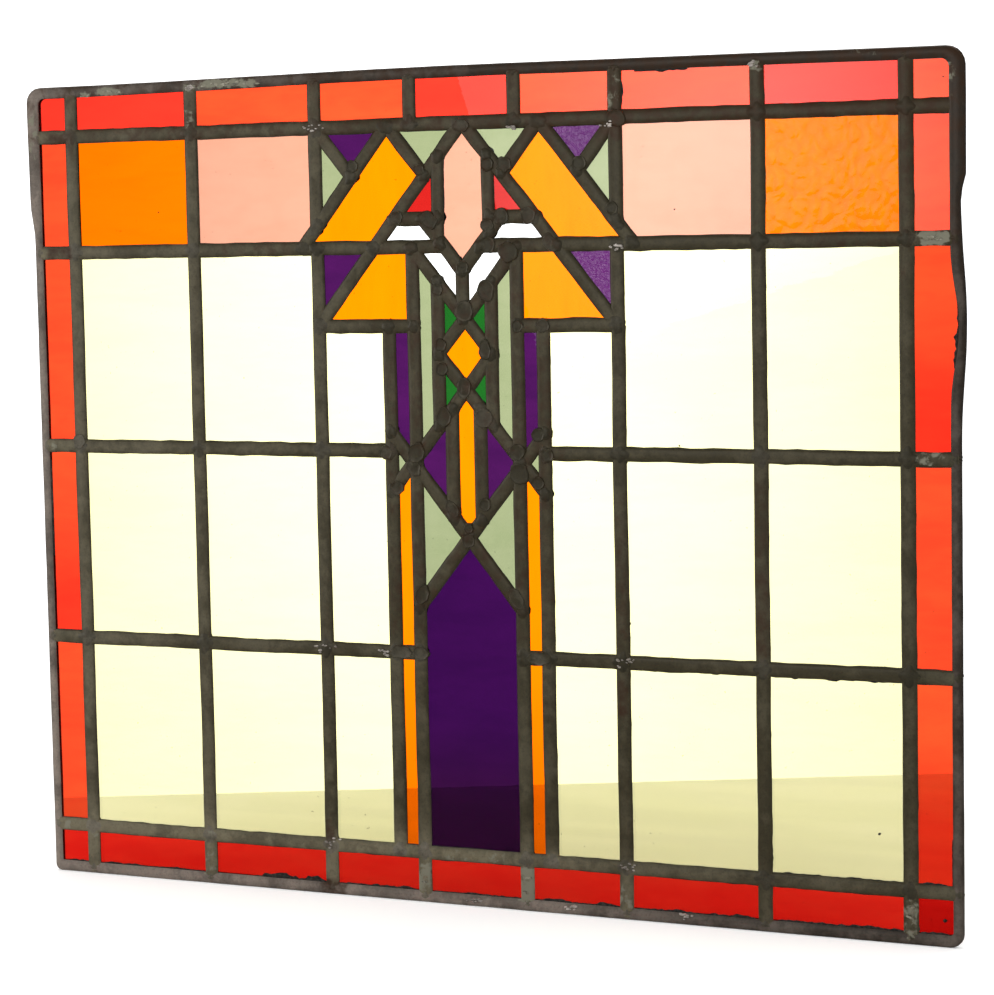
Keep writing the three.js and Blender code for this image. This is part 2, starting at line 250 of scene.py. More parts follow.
def matt_look(name, first, second, stretch, scale, lift):
    """A matt finish clouded between two tones. lift is how much light of its own it adds."""
    look, tree, _, where = start_look(name)
    tree.nodes.remove(tree.nodes["Principled BSDF"])
    cloud = spread(tree, speckle(tree, stretched(tree, where, stretch), scale, 2.0, 0.4), 0.35, 0.65)
    tone = blend_colours(tree, cloud, (*first, 1), (*second, 1))
    seen = blend_colours(tree, was_mirrored(tree), tone, DIM_IN_GLASS)
    matt = place(tree, "ShaderNodeBsdfDiffuse", {"Color": seen, "Roughness": 0.6})
    lifted = place(tree, "ShaderNodeEmission", {"Color": seen, "Strength": lift})
    both = place(tree, "ShaderNodeAddShader", {0: matt.outputs[0], 1: lifted.outputs[0]})
    fill(tree, tree.nodes["Material Output"].inputs, {"Surface": both.outputs[0]})
    return look


def stage_sheet(bm, name, look):
    mesh = bpy.data.meshes.new(name)
    bm.to_mesh(mesh)
    bm.free()
    mesh.materials.append(look)
    sheet = bpy.data.objects.new(name, mesh)
    scene.collection.objects.link(sheet)


print("matt finish ready")

# %% The table and its sheet of painted shade
TABLE_BEHIND = 0.3935
TABLE_SKEW = math.radians(2.3)
TABLE_WIDTH = 4.6
TABLE_DEPTH = 4.2
TABLE_SINK = 0.0004
TABLE_LIFT = 0.22
UNDER_MIDDLE = Vector((-0.05, 0, 0))
SHADE_SHEET_LEFT, SHADE_SHEET_RIGHT = -0.2910, 0.2928
SHADE_SHEET_FRONT = 0.008
SHADE_SHEET_SINK = 0.0002

table_look = matt_look("pale_table", (0.92, 0.92, 0.915), (0.95, 0.95, 0.945), (1, 1, 1), 3.0, TABLE_LIFT)
# The grey sheet's colour is painted shade: the window's shade on the table behind it.
shade_sheet_look = matt_look("painted_shade_sheet", (0.745, 0.745, 0.735), (0.785, 0.785, 0.775), (2, 9, 1), 2.2, 0.0)
level_forward = Vector((CAMERA_FORWARD.x, CAMERA_FORWARD.y, 0)).normalized()
back_edge = level_forward * (TABLE_BEHIND - level_forward.dot(UNDER_MIDDLE))
table_turn = Matrix.Rotation(math.atan2(-level_forward.x, level_forward.y) + TABLE_SKEW, 3, "Z")
bm = bmesh.new()
bmesh.ops.create_grid(bm, x_segments=8, y_segments=8, size=0.5)
bmesh.ops.scale(bm, vec=(TABLE_WIDTH, TABLE_DEPTH, 1), verts=bm.verts)
bmesh.ops.translate(bm, vec=(0, -TABLE_DEPTH / 2, -TABLE_SINK), verts=bm.verts)
bmesh.ops.rotate(bm, cent=(0, 0, 0), matrix=table_turn, verts=bm.verts)
bmesh.ops.translate(bm, vec=back_edge, verts=bm.verts)
stage_sheet(bm, "table_top", table_look)

table_ahead = table_turn @ Vector((0, 1, 0))
stand = Vector((CAMERA_PLACE.x, CAMERA_PLACE.y, 0))
bm = bmesh.new()
bmesh.ops.create_grid(bm, x_segments=1, y_segments=1, size=0.5)
# The sheet of painted shade ends on lines from the camera's foot past the window's sides, so the window hides
# its sides.
for vert in bm.verts:
    sight = Vector((SHADE_SHEET_RIGHT if vert.co.x > 0 else SHADE_SHEET_LEFT, 0, 0)) - stand
    to_back = (back_edge - stand).dot(table_ahead) / sight.dot(table_ahead)
    to_front = (SHADE_SHEET_FRONT - stand.y) / sight.y
    corner = stand + sight * (to_back if vert.co.y > 0 else to_front)
    vert.co = corner - Vector((0, 0, SHADE_SHEET_SINK))
stage_sheet(bm, "painted_shade_sheet", shade_sheet_look)
print("table back edge:", [round(value, 3) for value in back_edge])

# %% The lamps
SOFTBOX_LEAN = math.radians(-17)
SOFTBOX_PLACE = (-0.4154, -1.533, 0.558)
SOFTBOX_WIDE, SOFTBOX_TALL = 0.600, 0.484
SOFTBOX_POWER = 1.339
HOT_SPOT = (0.5, 0.38, 0)
HOT_MIDDLE, DIM_EDGE = 2.1, 0.72
LEFT_LAMP_PLACE = (-1.35, -0.80, 0.45)
TOP_LAMP_PLACE = (-0.15, 0.45, 1.5)


def soft_lamp(name, where, turn, width, height, power):
    """A flat lamp that shines along its own -Z and isn't seen by the camera itself."""
    lamp = bpy.data.objects.new(name, bpy.data.lights.new(name, "AREA"))
    lamp.data.shape = "RECTANGLE"
    lamp.data.size = width
    lamp.data.size_y = height
    lamp.data.energy = power
    lamp.matrix_world = Matrix.Translation(where) @ turn
    lamp.visible_camera = False
    scene.collection.objects.link(lamp)
    return lamp


def facing_towards(where, target):
    return (Vector(target) - Vector(where)).to_track_quat("-Z", "Y").to_matrix().to_4x4()


softbox_turn = Matrix.Rotation(SOFTBOX_LEAN, 4, "Y") @ Matrix.Rotation(math.radians(90), 4, "X")
softbox = soft_lamp("softbox", SOFTBOX_PLACE, softbox_turn, SOFTBOX_WIDE, SOFTBOX_TALL, SOFTBOX_POWER)
softbox.data.use_nodes = True
tree = softbox.data.node_tree
on_cloth = place(tree, "ShaderNodeNewGeometry").outputs["Parametric"]
middle = place(tree, "ShaderNodeVectorMath", {0: on_cloth, 1: HOT_SPOT}, operation="DISTANCE")
glare = spread(tree, middle.outputs["Value"], 0.0, 0.55, HOT_MIDDLE, DIM_EDGE)
fill(tree, tree.nodes["Emission"].inputs, {"Strength": glare})
left_turn = facing_towards(LEFT_LAMP_PLACE, (-0.25, 0, 0.2))
soft_lamp("left_lamp", LEFT_LAMP_PLACE, left_turn, 0.5, 0.9, 3.4)
top_turn = facing_towards(TOP_LAMP_PLACE, (-0.15, 0.30, 0))
soft_lamp("top_lamp", TOP_LAMP_PLACE, top_turn, 1.6, 1.0, 9.0)
print("softbox leans", round(math.degrees(SOFTBOX_LEAN)), "degrees")

# %% [markdown]
# ## The skin of old lead
# Lead goes dull within days: a smooth, dark brown-grey skin, with a paler bloom where damp has sat.
# The ridge of each came is painted a little brighter than its edges, and the edges a little darker:
# a painted highlight and painted shade. The lead is paler along the bottom and down the left side,
# partly dust and partly painted light. The same skin, with other values, is on the solder. It is a
# group with two colours in and colour, roughness and height out. Broad clouds decide where the bloom
# lies, and grain and pits are kept faint, because lead is a soft, smooth metal. All of it reads
# Object coordinates, in metres, so a scale of 30 makes clouds of about 30 mm.

# %% Group: lead skin
skin, into, out = new_group(
    "lead_skin",
    {
        "Vector": ("Vector", None),
        "Body": ("Color", (0.05, 0.045, 0.03, 1)),
        "Bloom": ("Color", (0.14, 0.13, 0.10, 1)),
        "Bloom Amount": ("Float", 0.5),
        "Rub": ("Float", 0.0),
        "Dusting And Light": ("Float", 0.0),
    },
    {"Color": "Color", "Roughness": "Float", "Height": "Float"},
)
clouds = speckle(skin, into["Vector"], 30.0, 3.0, 0.55, 0.4)
grain = speckle(skin, into["Vector"], 210.0, 4.0, 0.6, 0.4)
pits = speckle(skin, into["Vector"], 900.0, 2.0, 0.6)
patchy = plus(skin, times(skin, clouds, 0.75), times(skin, grain, 0.25))
# Painted sheen: the ridge draws more of the pale bloom, a painted highlight.
bloom_and_sheen = plus(skin, patchy, times(skin, into["Rub"], 0.09))
bloomed = times(skin, spread(skin, bloom_and_sheen, 0.45, 0.70), into["Bloom Amount"])
# Pale dust and painted light make the lead paler where the mesh says so.
dusting_and_light_mask = times(skin, into["Dusting And Light"], spread(skin, patchy, 0.34, 0.60, 0.55, 1.0))
bloom_mask = plus(skin, bloomed, dusting_and_light_mask, clamp=True)
tone = blend_colours(skin, bloom_mask, into["Body"], into["Bloom"])
pitted = spread(skin, pits, 0.34, 0.50, 0.80, 1.0)
mottle = spread(skin, grain, 0.3, 0.7, 0.90, 1.10)
# Painted sheen: the ridge is painted a little lighter and the edges a little darker.
ridge_sheen = spread(skin, into["Rub"], 0.0, 1.0, 0.93, 1.02)
shade = times(skin, times(skin, pitted, mottle), ridge_sheen)
coloured = blend_colours(skin, 1.0, tone, grey_of(skin, shade), "MULTIPLY")
rough = spread(skin, plus(skin, bloom_mask, times(skin, grain, 0.5)), 0.1, 1.2, 0.36, 0.66)
fine_height = plus(skin, times(skin, grain, 0.3), times(skin, pits, 0.12))
height = plus(skin, fine_height, clouds)
fill(skin, out, {"Color": coloured, "Roughness": rough, "Height": height})
print("lead skin nodes:", len(skin.nodes))

# %% [markdown]
# The window has been painted round more than once. Scraps of pale grey-green paint are left on the
# cames, and brown rust has run on to the lead in a few places. A brown painted shade lies over the
# top, the right half and the ornament. Where these lie is stored on the mesh, as the attributes for
# paint and for rust and painted shade, when the cames are made. The group breaks a smooth patch into
# flakes: a flake stays where the stored value is higher than the grain at that place. A small edge
# gives crisp flakes, and a large one a soft stain.

# %% Group: flakes
flakes, into, out = new_group(
    "flakes",
    {
        "Vector": ("Vector", None),
        "Amount": ("Float", 0.0),
        "Scale": ("Float", 190.0),
        "Edge": ("Float", 0.08),
    },
    {"Mask": "Float"},
)
crumbs = speckle(flakes, into["Vector"], into["Scale"], 4.0, 0.58, 0.3)
left_on = math_node(flakes, "DIVIDE", math_node(flakes, "SUBTRACT", into["Amount"], crumbs), into["Edge"])
fill(flakes, out, {"Mask": spread(flakes, left_on, -1.0, 1.0)})
print("flakes nodes:", len(flakes.nodes))

# %% Finishes: lead, solder, cement and old paint
OLD_PAINT = (0.205, 0.197, 0.143, 1)
# The same brown colours the rust and the painted brown shade.
RUST = (0.050, 0.022, 0.008, 1)
# Each metal: its name, body, bloom, amount of bloom, metallic share, and depth of its bumps in metres.
METALS = (
    ("inner_lead", (0.054, 0.044, 0.021), (0.165, 0.143, 0.088), 0.30, 0.25, 0.00016),
    ("border_lead", (0.038, 0.028, 0.019), (0.235, 0.192, 0.158), 0.25, 0.25, 0.0002),
    ("dull_solder", (0.044, 0.037, 0.019), (0.17, 0.150, 0.112), 0.38, 0.3, 0.00014),
    # This solder is pale all through: a painted highlight for glints.
    ("glint_solder", (0.26, 0.23, 0.20), (0.66, 0.60, 0.55), 1.0, 0.3, 0.0001),
)


def metal_look(name, body, bloom, amount, metallic, depth):
    """Old lead or solder: the skin, with flakes of old paint, and rust and painted brown shade, where the
    mesh says so.
    """
    look, tree, shader, where = start_look(name)
    mark = {
        label: place(tree, "ShaderNodeAttribute", attribute_name=label).outputs["Fac"]
        for label in ("rub", "dusting_and_light", "paint", "rust_and_shade")
    }
    values = {"Vector": where, "Body": (*body, 1), "Bloom": (*bloom, 1), "Bloom Amount": amount}
    surface = use_group(tree, skin, values | {"Rub": mark["rub"], "Dusting And Light": mark["dusting_and_light"]})
    paint_mask = use_group(tree, flakes, {"Vector": where, "Amount": mark["paint"]})["Mask"]
    # Rust and painted brown shade share one soft mask.
    rusting_and_shade_inputs = {"Vector": where, "Amount": mark["rust_and_shade"], "Scale": 140.0, "Edge": 0.25}
    rusted_and_shaded = blend_colours(tree, use_group(tree, flakes, rusting_and_shade_inputs)["Mask"], surface["Color"], RUST)
    painted = blend_colours(tree, paint_mask, rusted_and_shaded, OLD_PAINT)
    raised = plus(tree, surface["Height"], times(tree, paint_mask, 0.9))
    dull = math_node(tree, "MAXIMUM", surface["Roughness"], times(tree, paint_mask, 0.75))
    fill(tree, shader, {"Base Color": painted, "Roughness": dull, "Normal": bumps(tree, raised, depth)})
    fill(tree, shader, {"Metallic": metallic})
    return look


inner_lead, border_lead, dull_solder, glint_solder = [metal_look(*metal) for metal in METALS]
print("metal finishes:", inner_lead.name, border_lead.name, dull_solder.name, glint_solder.name)

# %% [markdown]
# Cement is the black putty rubbed under the lead to keep the rain out. It has dried hard and
# crumbly, so it is rough, almost black, with a few paler grains. The paint scraps that stand up as
# flakes of their own have a chalky surface with hairline cracks, from the edges of Voronoi cells.

# %% Finishes: cement and paint
CRUMB_DEPTH = 0.0003
# Each: its name, dark and light tones, scale of its grains, roughness, and depth of its cracks.
CRUMBS = (
    ("cement", (0.010, 0.009, 0.007), (0.045, 0.040, 0.032), 520.0, 0.88, 0.3),
    ("pale_back_cement", (0.045, 0.040, 0.030), (0.13, 0.12, 0.095), 520.0, 0.88, 0.3),
    ("old_paint", (0.17, 0.158, 0.113), (0.32, 0.305, 0.235), 300.0, 0.75, 0.6),
)


def crumb_look(name, dark, light, scale, roughness, cracked):
    look, tree, shader, where = start_look(name)
    grains = speckle(tree, where, scale, 5.0, 0.7)
    tone = blend_colours(tree, spread(tree, grains, 0.42, 0.68), (*dark, 1), (*light, 1))
    cells = {"Vector": where, "Scale": scale * 0.6}
    to_edge = place(tree, "ShaderNodeTexVoronoi", cells, feature="DISTANCE_TO_EDGE").outputs["Distance"]
    open_crack = spread(tree, to_edge, 0.0, 0.07, 1.0 - cracked, 1.0)
    colour = blend_colours(tree, 1.0, tone, grey_of(tree, open_crack), "MULTIPLY")
    raised = times(tree, grains, open_crack)
    fill(tree, shader, {"Base Color": colour, "Normal": bumps(tree, raised, CRUMB_DEPTH)})
    fill(tree, shader, {"Roughness": roughness})
    return look


cement_look, pale_back_cement, paint_look = [crumb_look(*crumb) for crumb in CRUMBS]
print("crumbly finishes:", cement_look.name, paint_look.name)

# %% [markdown]
# ## The glass
# The field is pale straw glass. The colours round it are sheet glass coloured right through, and no
# sheet is quite even: the colour lies in faint streaks along the way it was drawn, the surface
# waves, and small specks of grit and putty stick to it. In a Principled shader the Base Color of
# clear glass is the colour of light that has gone through the whole pane, so each glass is named by
# that colour. Roughness, transmission and index stay plain values on the shader's own sockets.

# %% Group: drawn glass
GRIT = (0.12, 0.10, 0.07, 1)
drawn, into, out = new_group(
    "drawn_glass",
    {
        "Vector": ("Vector", None),
        "Flow": ("Vector", None),
        "Tint": ("Color", (1, 1, 1, 1)),
        "Streak Tint": ("Color", (0.8, 0.8, 0.8, 1)),
        "Streaks": ("Float", 0.5),
        "Foot Tint": ("Color", (1, 1, 1, 1)),
        "Foot From": ("Float", -1.0),
        "Foot To": ("Float", -0.9),
        "Specks": ("Float", 0.6),
    },
    {"Color": "Color", "Height": "Float"},
)
streak = speckle(drawn, into["Flow"], 10.0, 4.0, 0.55, 0.6)
veins = speckle(drawn, into["Flow"], 46.0, 3.0, 0.6, 0.9)
streaky = plus(drawn, times(drawn, streak, 0.7), times(drawn, veins, 0.3))
streak_mask = times(drawn, spread(drawn, streaky, 0.36, 0.66), into["Streaks"])
height_up = place(drawn, "ShaderNodeSeparateXYZ", {"Vector": into["Vector"]}).outputs["Z"]
foot = spread(drawn, height_up, into["Foot From"], into["Foot To"], 1.0, 0.0)
even = blend_colours(drawn, foot, into["Tint"], into["Foot Tint"])
streaked = blend_colours(drawn, streak_mask, even, into["Streak Tint"], "MULTIPLY")
grit = spread(drawn, speckle(drawn, into["Vector"], 420.0, 2.0, 0.5), 0.745, 0.79)
speck_mask = times(drawn, grit, into["Specks"])
specked = blend_colours(drawn, speck_mask, streaked, GRIT, "MULTIPLY")
wave = speckle(drawn, into["Flow"], 7.0, 2.0, 0.45)
ripple = speckle(drawn, into["Flow"], 30.0, 2.0, 0.5)
waviness = plus(drawn, wave, times(drawn, ripple, 0.12))
fill(drawn, out, {"Color": specked, "Height": waviness})
print("drawn glass nodes:", len(drawn.nodes))

# %% [markdown]
# One orange pane and a few small ones on the right are textured glass. The roller has left shallow
# lumps in the orange, a centimetre or so across, with soft valleys between them, and a fine scratchy
# tooth on the purple. Voronoi cells, pushed about by noise and smoothed, give the lumps, and fine
# noise the tooth. The valleys are put out too, because the colour is a little deeper there.

# %% Group: rolled texture
PUSH = 0.016
rolled, into, out = new_group(
    "rolled_texture",
    {"Vector": ("Vector", None), "Scale": ("Float", 90.0), "Tooth": ("Float", 0.2)},
    {"Height": "Float", "Valley": "Float"},
)
pushed = place(rolled, "ShaderNodeTexNoise", {"Vector": into["Vector"], "Scale": 60.0, "Detail": 2.0})
push = {0: pushed.outputs["Color"], 1: (PUSH, PUSH, PUSH)}
drift = place(rolled, "ShaderNodeVectorMath", push, operation="MULTIPLY")
moved = place(rolled, "ShaderNodeVectorMath", {0: into["Vector"], 1: drift.outputs[0]}, operation="ADD")
cells = {"Vector": moved.outputs[0], "Scale": into["Scale"], "Smoothness": 0.5}
lumps = place(rolled, "ShaderNodeTexVoronoi", cells, feature="SMOOTH_F1").outputs["Distance"]
tooth = speckle(rolled, into["Vector"], 430.0, 3.0, 0.6, 0.8)
lump_share = math_node(rolled, "SUBTRACT", 1.0, into["Tooth"])
lumpy = times(rolled, lumps, lump_share)
toothed = times(rolled, tooth, into["Tooth"])
low_lumps = times(rolled, spread(rolled, lumps, 0.44, 0.66), lump_share)
low_tooth = times(rolled, spread(rolled, tooth, 0.42, 0.62), into["Tooth"])
texture_height = math_node(rolled, "SUBTRACT", toothed, lumpy)
fill(rolled, out, {"Height": texture_height, "Valley": plus(rolled, low_lumps, low_tooth)})
print("rolled texture nodes:", len(rolled.nodes))

# %% Finish: sheet glass
ALONG = (1.0, 1.0, 4.0)
UPWARDS = (4.0, 1.0, 1.0)
VALLEY_SHARE = 0.34


def glass_look(name, tint, streak_tint, streaks, flow=ALONG, foot=None, lumps=None, wave=0.00006, index=1.5):
    """Sheet glass of one colour.

    foot is a second colour low down, as (colour, from, to), and lumps is a texture, as (scale,
    tooth, depth), both in metres where they are lengths.
    """
    look, tree, shader, where = start_look(name)
    values = {"Vector": where, "Flow": stretched(tree, where, flow), "Tint": (*tint, 1)}
    values |= {"Streak Tint": (*streak_tint, 1), "Streaks": streaks}
    if foot:
        values |= {"Foot Tint": (*foot[0], 1), "Foot From": foot[1], "Foot To": foot[2]}
    sheet = use_group(tree, drawn, values)
    colour, normal = sheet["Color"], bumps(tree, sheet["Height"], wave)
    if lumps:
        scale, tooth, depth = lumps
        texture = use_group(tree, rolled, {"Vector": where, "Scale": scale, "Tooth": tooth})
        deeper = times(tree, texture["Valley"], VALLEY_SHARE)
        colour = blend_colours(tree, deeper, colour, (*streak_tint, 1), "MULTIPLY")
        normal = bumps(tree, texture["Height"], depth, normal)
    fill(tree, shader, {"Base Color": colour, "Normal": normal})
    fill(tree, shader, {"Transmission Weight": 1.0, "IOR": index, "Roughness": 0.0})
    return look


print("sheet glass ready")

# %% [markdown]
# Each glass has its colour, the colour of its streaks and how strong they are. Some of the reds, the
# orange and the purples are deeper towards the foot. Three of the reds differ mainly in how high that
# deeper foot reaches, because their panes stand at different heights. The deeper foot of the lowest
# red is painted shade: the shaded table seen through the pane.

# %% The glasses
RED_STREAK = (0.98, 0.45, 0.70)
ORANGE_FOOT = ((0.97, 0.158, 0.0), 0.060, 0.150)
PURPLE_FOOT = ((0.030, 0.0030, 0.030), 0.040, 0.110)
BLADE_FOOT = ((0.028, 0.0028, 0.030), 0.045, 0.120)
DEEP_WAVE = {"wave": 0.0002}
glasses = {}
RED_FEET = {
    # Painted shade: the shaded table seen through the lowest red pane.
    "red_glass_low": ((0.88, 0.032, 0.010), 0.045, 0.135),
    "red_glass_middle": ((0.90, 0.036, 0.014), 0.165, 0.250),
    "red_glass_high": ((0.90, 0.032, 0.012), 0.285, 0.365),
}
for name, tint, streak_tint, streaks, others in (
    ("straw_glass", (0.98, 0.935, 0.525), (0.97, 0.985, 0.90), 0.5, {}),
    ("red_glass", (0.90, 0.074, 0.020), RED_STREAK, 0.5, {}),
    ("red_glass_low", (0.90, 0.094, 0.022), RED_STREAK, 0.4, {"foot": RED_FEET["red_glass_low"]}),
    ("red_glass_middle", (0.90, 0.084, 0.022), RED_STREAK, 0.4, {"foot": RED_FEET["red_glass_middle"]}),
    ("red_glass_high", (0.90, 0.074, 0.019), RED_STREAK, 0.4, {"foot": RED_FEET["red_glass_high"]}),
    ("scarlet_glass", (0.90, 0.035, 0.018), (0.98, 0.70, 0.80), 0.5, {}),
    ("deep_red_glass", (0.91, 0.026, 0.012), (0.94, 0.42, 0.60), 0.8, {}),
    ("garnet_glass", (0.67, 0.0065, 0.0040), (0.85, 0.6, 0.6), 0.9, {}),
    ("orange_glass", (0.98, 0.205, 0.0), (0.97, 0.86, 0.60), 0.6,
     {"flow": UPWARDS, "foot": ORANGE_FOOT, "index": 1.25}),
    ("amber_glass", (0.96, 0.146, 0.0), (0.98, 0.88, 0.70), 0.7, {"index": 1.25}),
    ("rippled_orange_glass", (0.90, 0.176, 0.002), (0.96, 0.76, 0.60), 0.3,
     {"lumps": (165.0, 0.06, 0.00028), "index": 1.28}),
    ("pink_glass", (0.60, 0.285, 0.190), (0.99, 0.93, 0.91), 0.8, {"lumps": (60.0, 0.05, 0.00005)}),
    ("purple_glass", (0.052, 0.0052, 0.067), (0.66, 0.72, 0.74), 0.8, {"foot": PURPLE_FOOT} | DEEP_WAVE),
    ("deep_purple_glass", (0.031, 0.0018, 0.052), (0.72, 0.72, 0.78), 0.8, {"foot": BLADE_FOOT} | DEEP_WAVE),
    ("rolled_purple_glass", (0.096, 0.0175, 0.113), (0.60, 0.66, 0.70), 0.5,
     {"lumps": (230.0, 0.9, 0.00028)}),
    ("green_glass", (0.255, 0.288, 0.156), (0.90, 0.93, 0.88), 0.8, {"lumps": (130.0, 0.3, 0.00004)}),
    ("dark_green_glass", (0.009, 0.095, 0.011), (0.8, 0.85, 0.8), 0.6, {}),
    ("ruby_glass", (0.42, 0.0118, 0.0093), (0.9, 0.8, 0.8), 0.5, {}),
    ("white_glass", (0.97, 0.98, 0.96), (0.97, 0.97, 0.96), 0.3, {}),
):
    glasses[name] = glass_look(name, tint, streak_tint, streaks, **others)
print("glasses:", len(glasses), sorted(glasses))

# %% [markdown]
# ## Glazing the CAD panes
# The fifty-nine larger panes keep their CAD shapes, which are true plates three millimetres thick,
# and are only given their glass. The first word of a node's name says its colour, and a few panes
# were cut from another sheet than their neighbours.

# %% Give each CAD pane its glass
OTHER_SHEETS = {
    "orange_top_left": "amber_glass",
    "orange_top_right": "rippled_orange_glass",
    "purple_blade": "deep_purple_glass",
    "red_corner_bottom_right": "garnet_glass",
    "red_right_1": "red_glass_low",
    "red_left_2": "red_glass_middle",
    "red_right_3": "red_glass_high",
}
OTHER_SHEETS |= dict.fromkeys(("red_corner_top_left", "red_top_1", "red_top_4", "red_top_7"), "scarlet_glass")
for name, node in nodes.items():
    if name == "lead_net":
        continue
    glass = name.split("_")[0].replace("pale", "straw") + "_glass"
    if name.startswith(("red_bottom", "red_corner_bottom")):
        glass = "deep_red_glass"
    node.data.materials.clear()
    node.data.materials.append(glasses[OTHER_SHEETS.get(name, glass)])
print("panes glazed:", len(nodes) - 1)

# %% [markdown]
# ## Setting out the lead lines
# A glazier draws the centre line of every came full size on paper, the cartoon. The same lines are
# set out here in millimetres, X across and Z up from the middle of the bottom edge, with the numbers
# that the CAD model was made from. Both halves mirror each other about the middle, apart from a few
# joints that sit a little to one side.

# %% The cartoon: points and lines
MM = 0.001
HALF_FACE = 4.0
HALF_HEART = 0.9
GLASS_THICKNESS = 3.0
LEFT_SIDE = 293.6
RIGHT_SIDE = 295.4
PANEL_HEIGHT = 490.0
COLUMNS = (96.0, 180.7, 265.5)
SILL, LOW, MIDDLE, HIGH, HEAD = 30.0, 149.5, 269.0, 388.5, 459.5
CENTRE = -1.2
INSET = 1.2
STRIP_OUTER, STRIP_INNER = 49.5, 33.3
SHOULDER, COLLAR = 342.5, 405.0


def z_on(line, x):
    (x0, z0), (x1, z1) = line
    return z0 + (z1 - z0) * (x - x0) / (x1 - x0)


def x_on(line, z):
    (x0, z0), (x1, z1) = line
    return x0 + (x1 - x0) * (z - z0) / (z1 - z0)


def upright(x, low, high):
    return ((x, low), (x, high))


def level(z, start, end):
    return ((start, z), (end, z))


print("panel:", LEFT_SIDE + RIGHT_SIDE, "by", PANEL_HEIGHT, "mm")


# %% The ornament's lines
def ornament_lines(s):
    """The ornament's lines on one side of the middle: s is -1 for the left and 1 for the right."""
    side_upright = {-1: 17.5, 1: 16.8}
    spear_side = {-1: 9.6, 1: 8.6}[s] * s
    roof = ((s * 0.5, HEAD), (s * COLUMNS[0], SHOULDER))
    outer_roof = ((s * 48.5, HEAD), (s * 106.0, HIGH))
    foot = ((CENTRE, 374.0), (CENTRE + s * 25.0, COLLAR))
    far_knot = (-s * side_upright[-s], 326.0)
    upper_cross = (far_knot, (s * (STRIP_INNER + 1), HIGH))
    lower_cross = (far_knot, (s * STRIP_OUTER, 245.2))
    long_top = (s * STRIP_OUTER, 280.3)
    long_cross = (long_top, (-s * STRIP_INNER, z_on((long_top, (0.0, 218.4)), -s * STRIP_INNER)))
    side_x = s * side_upright[s]
    return {
        "roof": roof,
        "outer_roof": outer_roof,
        "inner_valley": ((s * 48.5, HEAD), (s * 24.6, z_on(roof, s * 24.6))),
        "outer_valley": ((s * COLUMNS[0], HEAD), (s * 72.3, z_on(outer_roof, s * 72.3))),
        "hexagon_side": ((s * 15.8, z_on(roof, s * 15.8)), (s * 16.6, z_on(foot, s * 16.6))),
        "collar": level(COLLAR, x_on(roof, COLLAR), s * 16.6),
        "foot": foot,
        "high": level(HIGH, s * 106.0, x_on(foot, HIGH)),
        "shoulder": level(SHOULDER, s * COLUMNS[0], s * STRIP_INNER),
        "upper_cross": upper_cross,
        "lower_cross": lower_cross,
        "side_upright": upright(side_x, z_on(lower_cross, side_x), z_on(upper_cross, side_x)),
        "long_cross": long_cross,
        "spear_side": upright(spear_side, z_on(long_cross, spear_side), z_on(lower_cross, spear_side)),
        "strip_outer": upright(s * STRIP_OUTER, SILL, SHOULDER),
        "strip_inner": upright(s * STRIP_INNER, SILL, HIGH),
        "middle": level(MIDDLE, s * COLUMNS[0], s * STRIP_OUTER),
        "low": level(LOW, s * COLUMNS[0], s * STRIP_INNER),
    }


left, right = ornament_lines(-1), ornament_lines(1)
centre_upright = upright(CENTRE, 346.2, 374.0)
print("ornament lines on each side:", len(left))

# %% The grid's lines, and all of them
top_end = PANEL_HEIGHT - INSET
grid_lines = [level(z, -LEFT_SIDE + INSET, RIGHT_SIDE - INSET) for z in (SILL, HEAD)]
for z in (LOW, MIDDLE, HIGH):
    grid_lines.append(level(z, -LEFT_SIDE + INSET, -COLUMNS[0]))
    grid_lines.append(level(z, COLUMNS[0], RIGHT_SIDE - INSET))
for s, lines in ((-1, left), (1, right)):
    grid_lines.append(upright(s * COLUMNS[2], INSET, top_end))
    grid_lines.append(upright(s * COLUMNS[1], INSET, top_end))
    grid_lines.append(upright(s * COLUMNS[0], INSET, HIGH))
    grid_lines.append(upright(s * COLUMNS[0], z_on(lines["outer_roof"], s * COLUMNS[0]), top_end))
    grid_lines.append(upright(s * STRIP_INNER, INSET, SILL))
    grid_lines.append(upright(s * STRIP_INNER, HEAD, top_end))
inner_lines = [*left.values(), *right.values(), centre_upright]
print("lead lines:", len(grid_lines), "in the grid,", len(inner_lines), "in the ornament")

# %% [markdown]
# ## Where the marks of age, and the painted light and shade, are
# Paint, rust, painted glints and the painted light and shade on the lead belong to places, not to
# patterns. Each scrap is a place in the panel with a half width and a half height in millimetres,
# and the amount left there. A vertex inside gets the whole amount, and it fades over the next few
# millimetres.

# %% Scraps of paint, runs of rust, and painted light and shade
PAINT_SCRAPS = (
    (-33.3, 15, 4, 8, 0.56), (33.3, 15, 4, 9, 0.62), (0, SILL, 20, 3, 0.42), (265.5, 14, 4, 10, 0.48),
    (-279, SILL, 7, 2, 0.42), (-265.5, 26, 4, 4, 0.43), (-180.7, SILL, 4, 3, 0.42),
    (281, HIGH, 8, 3, 0.58), (280, MIDDLE, 8, 3, 0.44), (-254, 484.2, 4, 1.0, 0.60),
    (-235, 486.0, 7, 1.2, 0.58), (-153, 487.4, 21, 1.6, 0.60), (-180.7, 474, 2, 12, 0.42),
    (-180.7, 486, 4, 1.5, 0.56), (-180.7, 14, 3, 8, 0.47), (96, 14, 3, 9, 0.45), (96, 474, 3, 8, 0.44),
    (180.7, 485, 2, 1.5, 0.56), (-292, 458, 3, 20, 0.44), (291.2, 472, 2, 9, 0.46),
    (240, 489, 14, 0.8, 0.43), (-281, 269, 6, 3, 0.40),
)
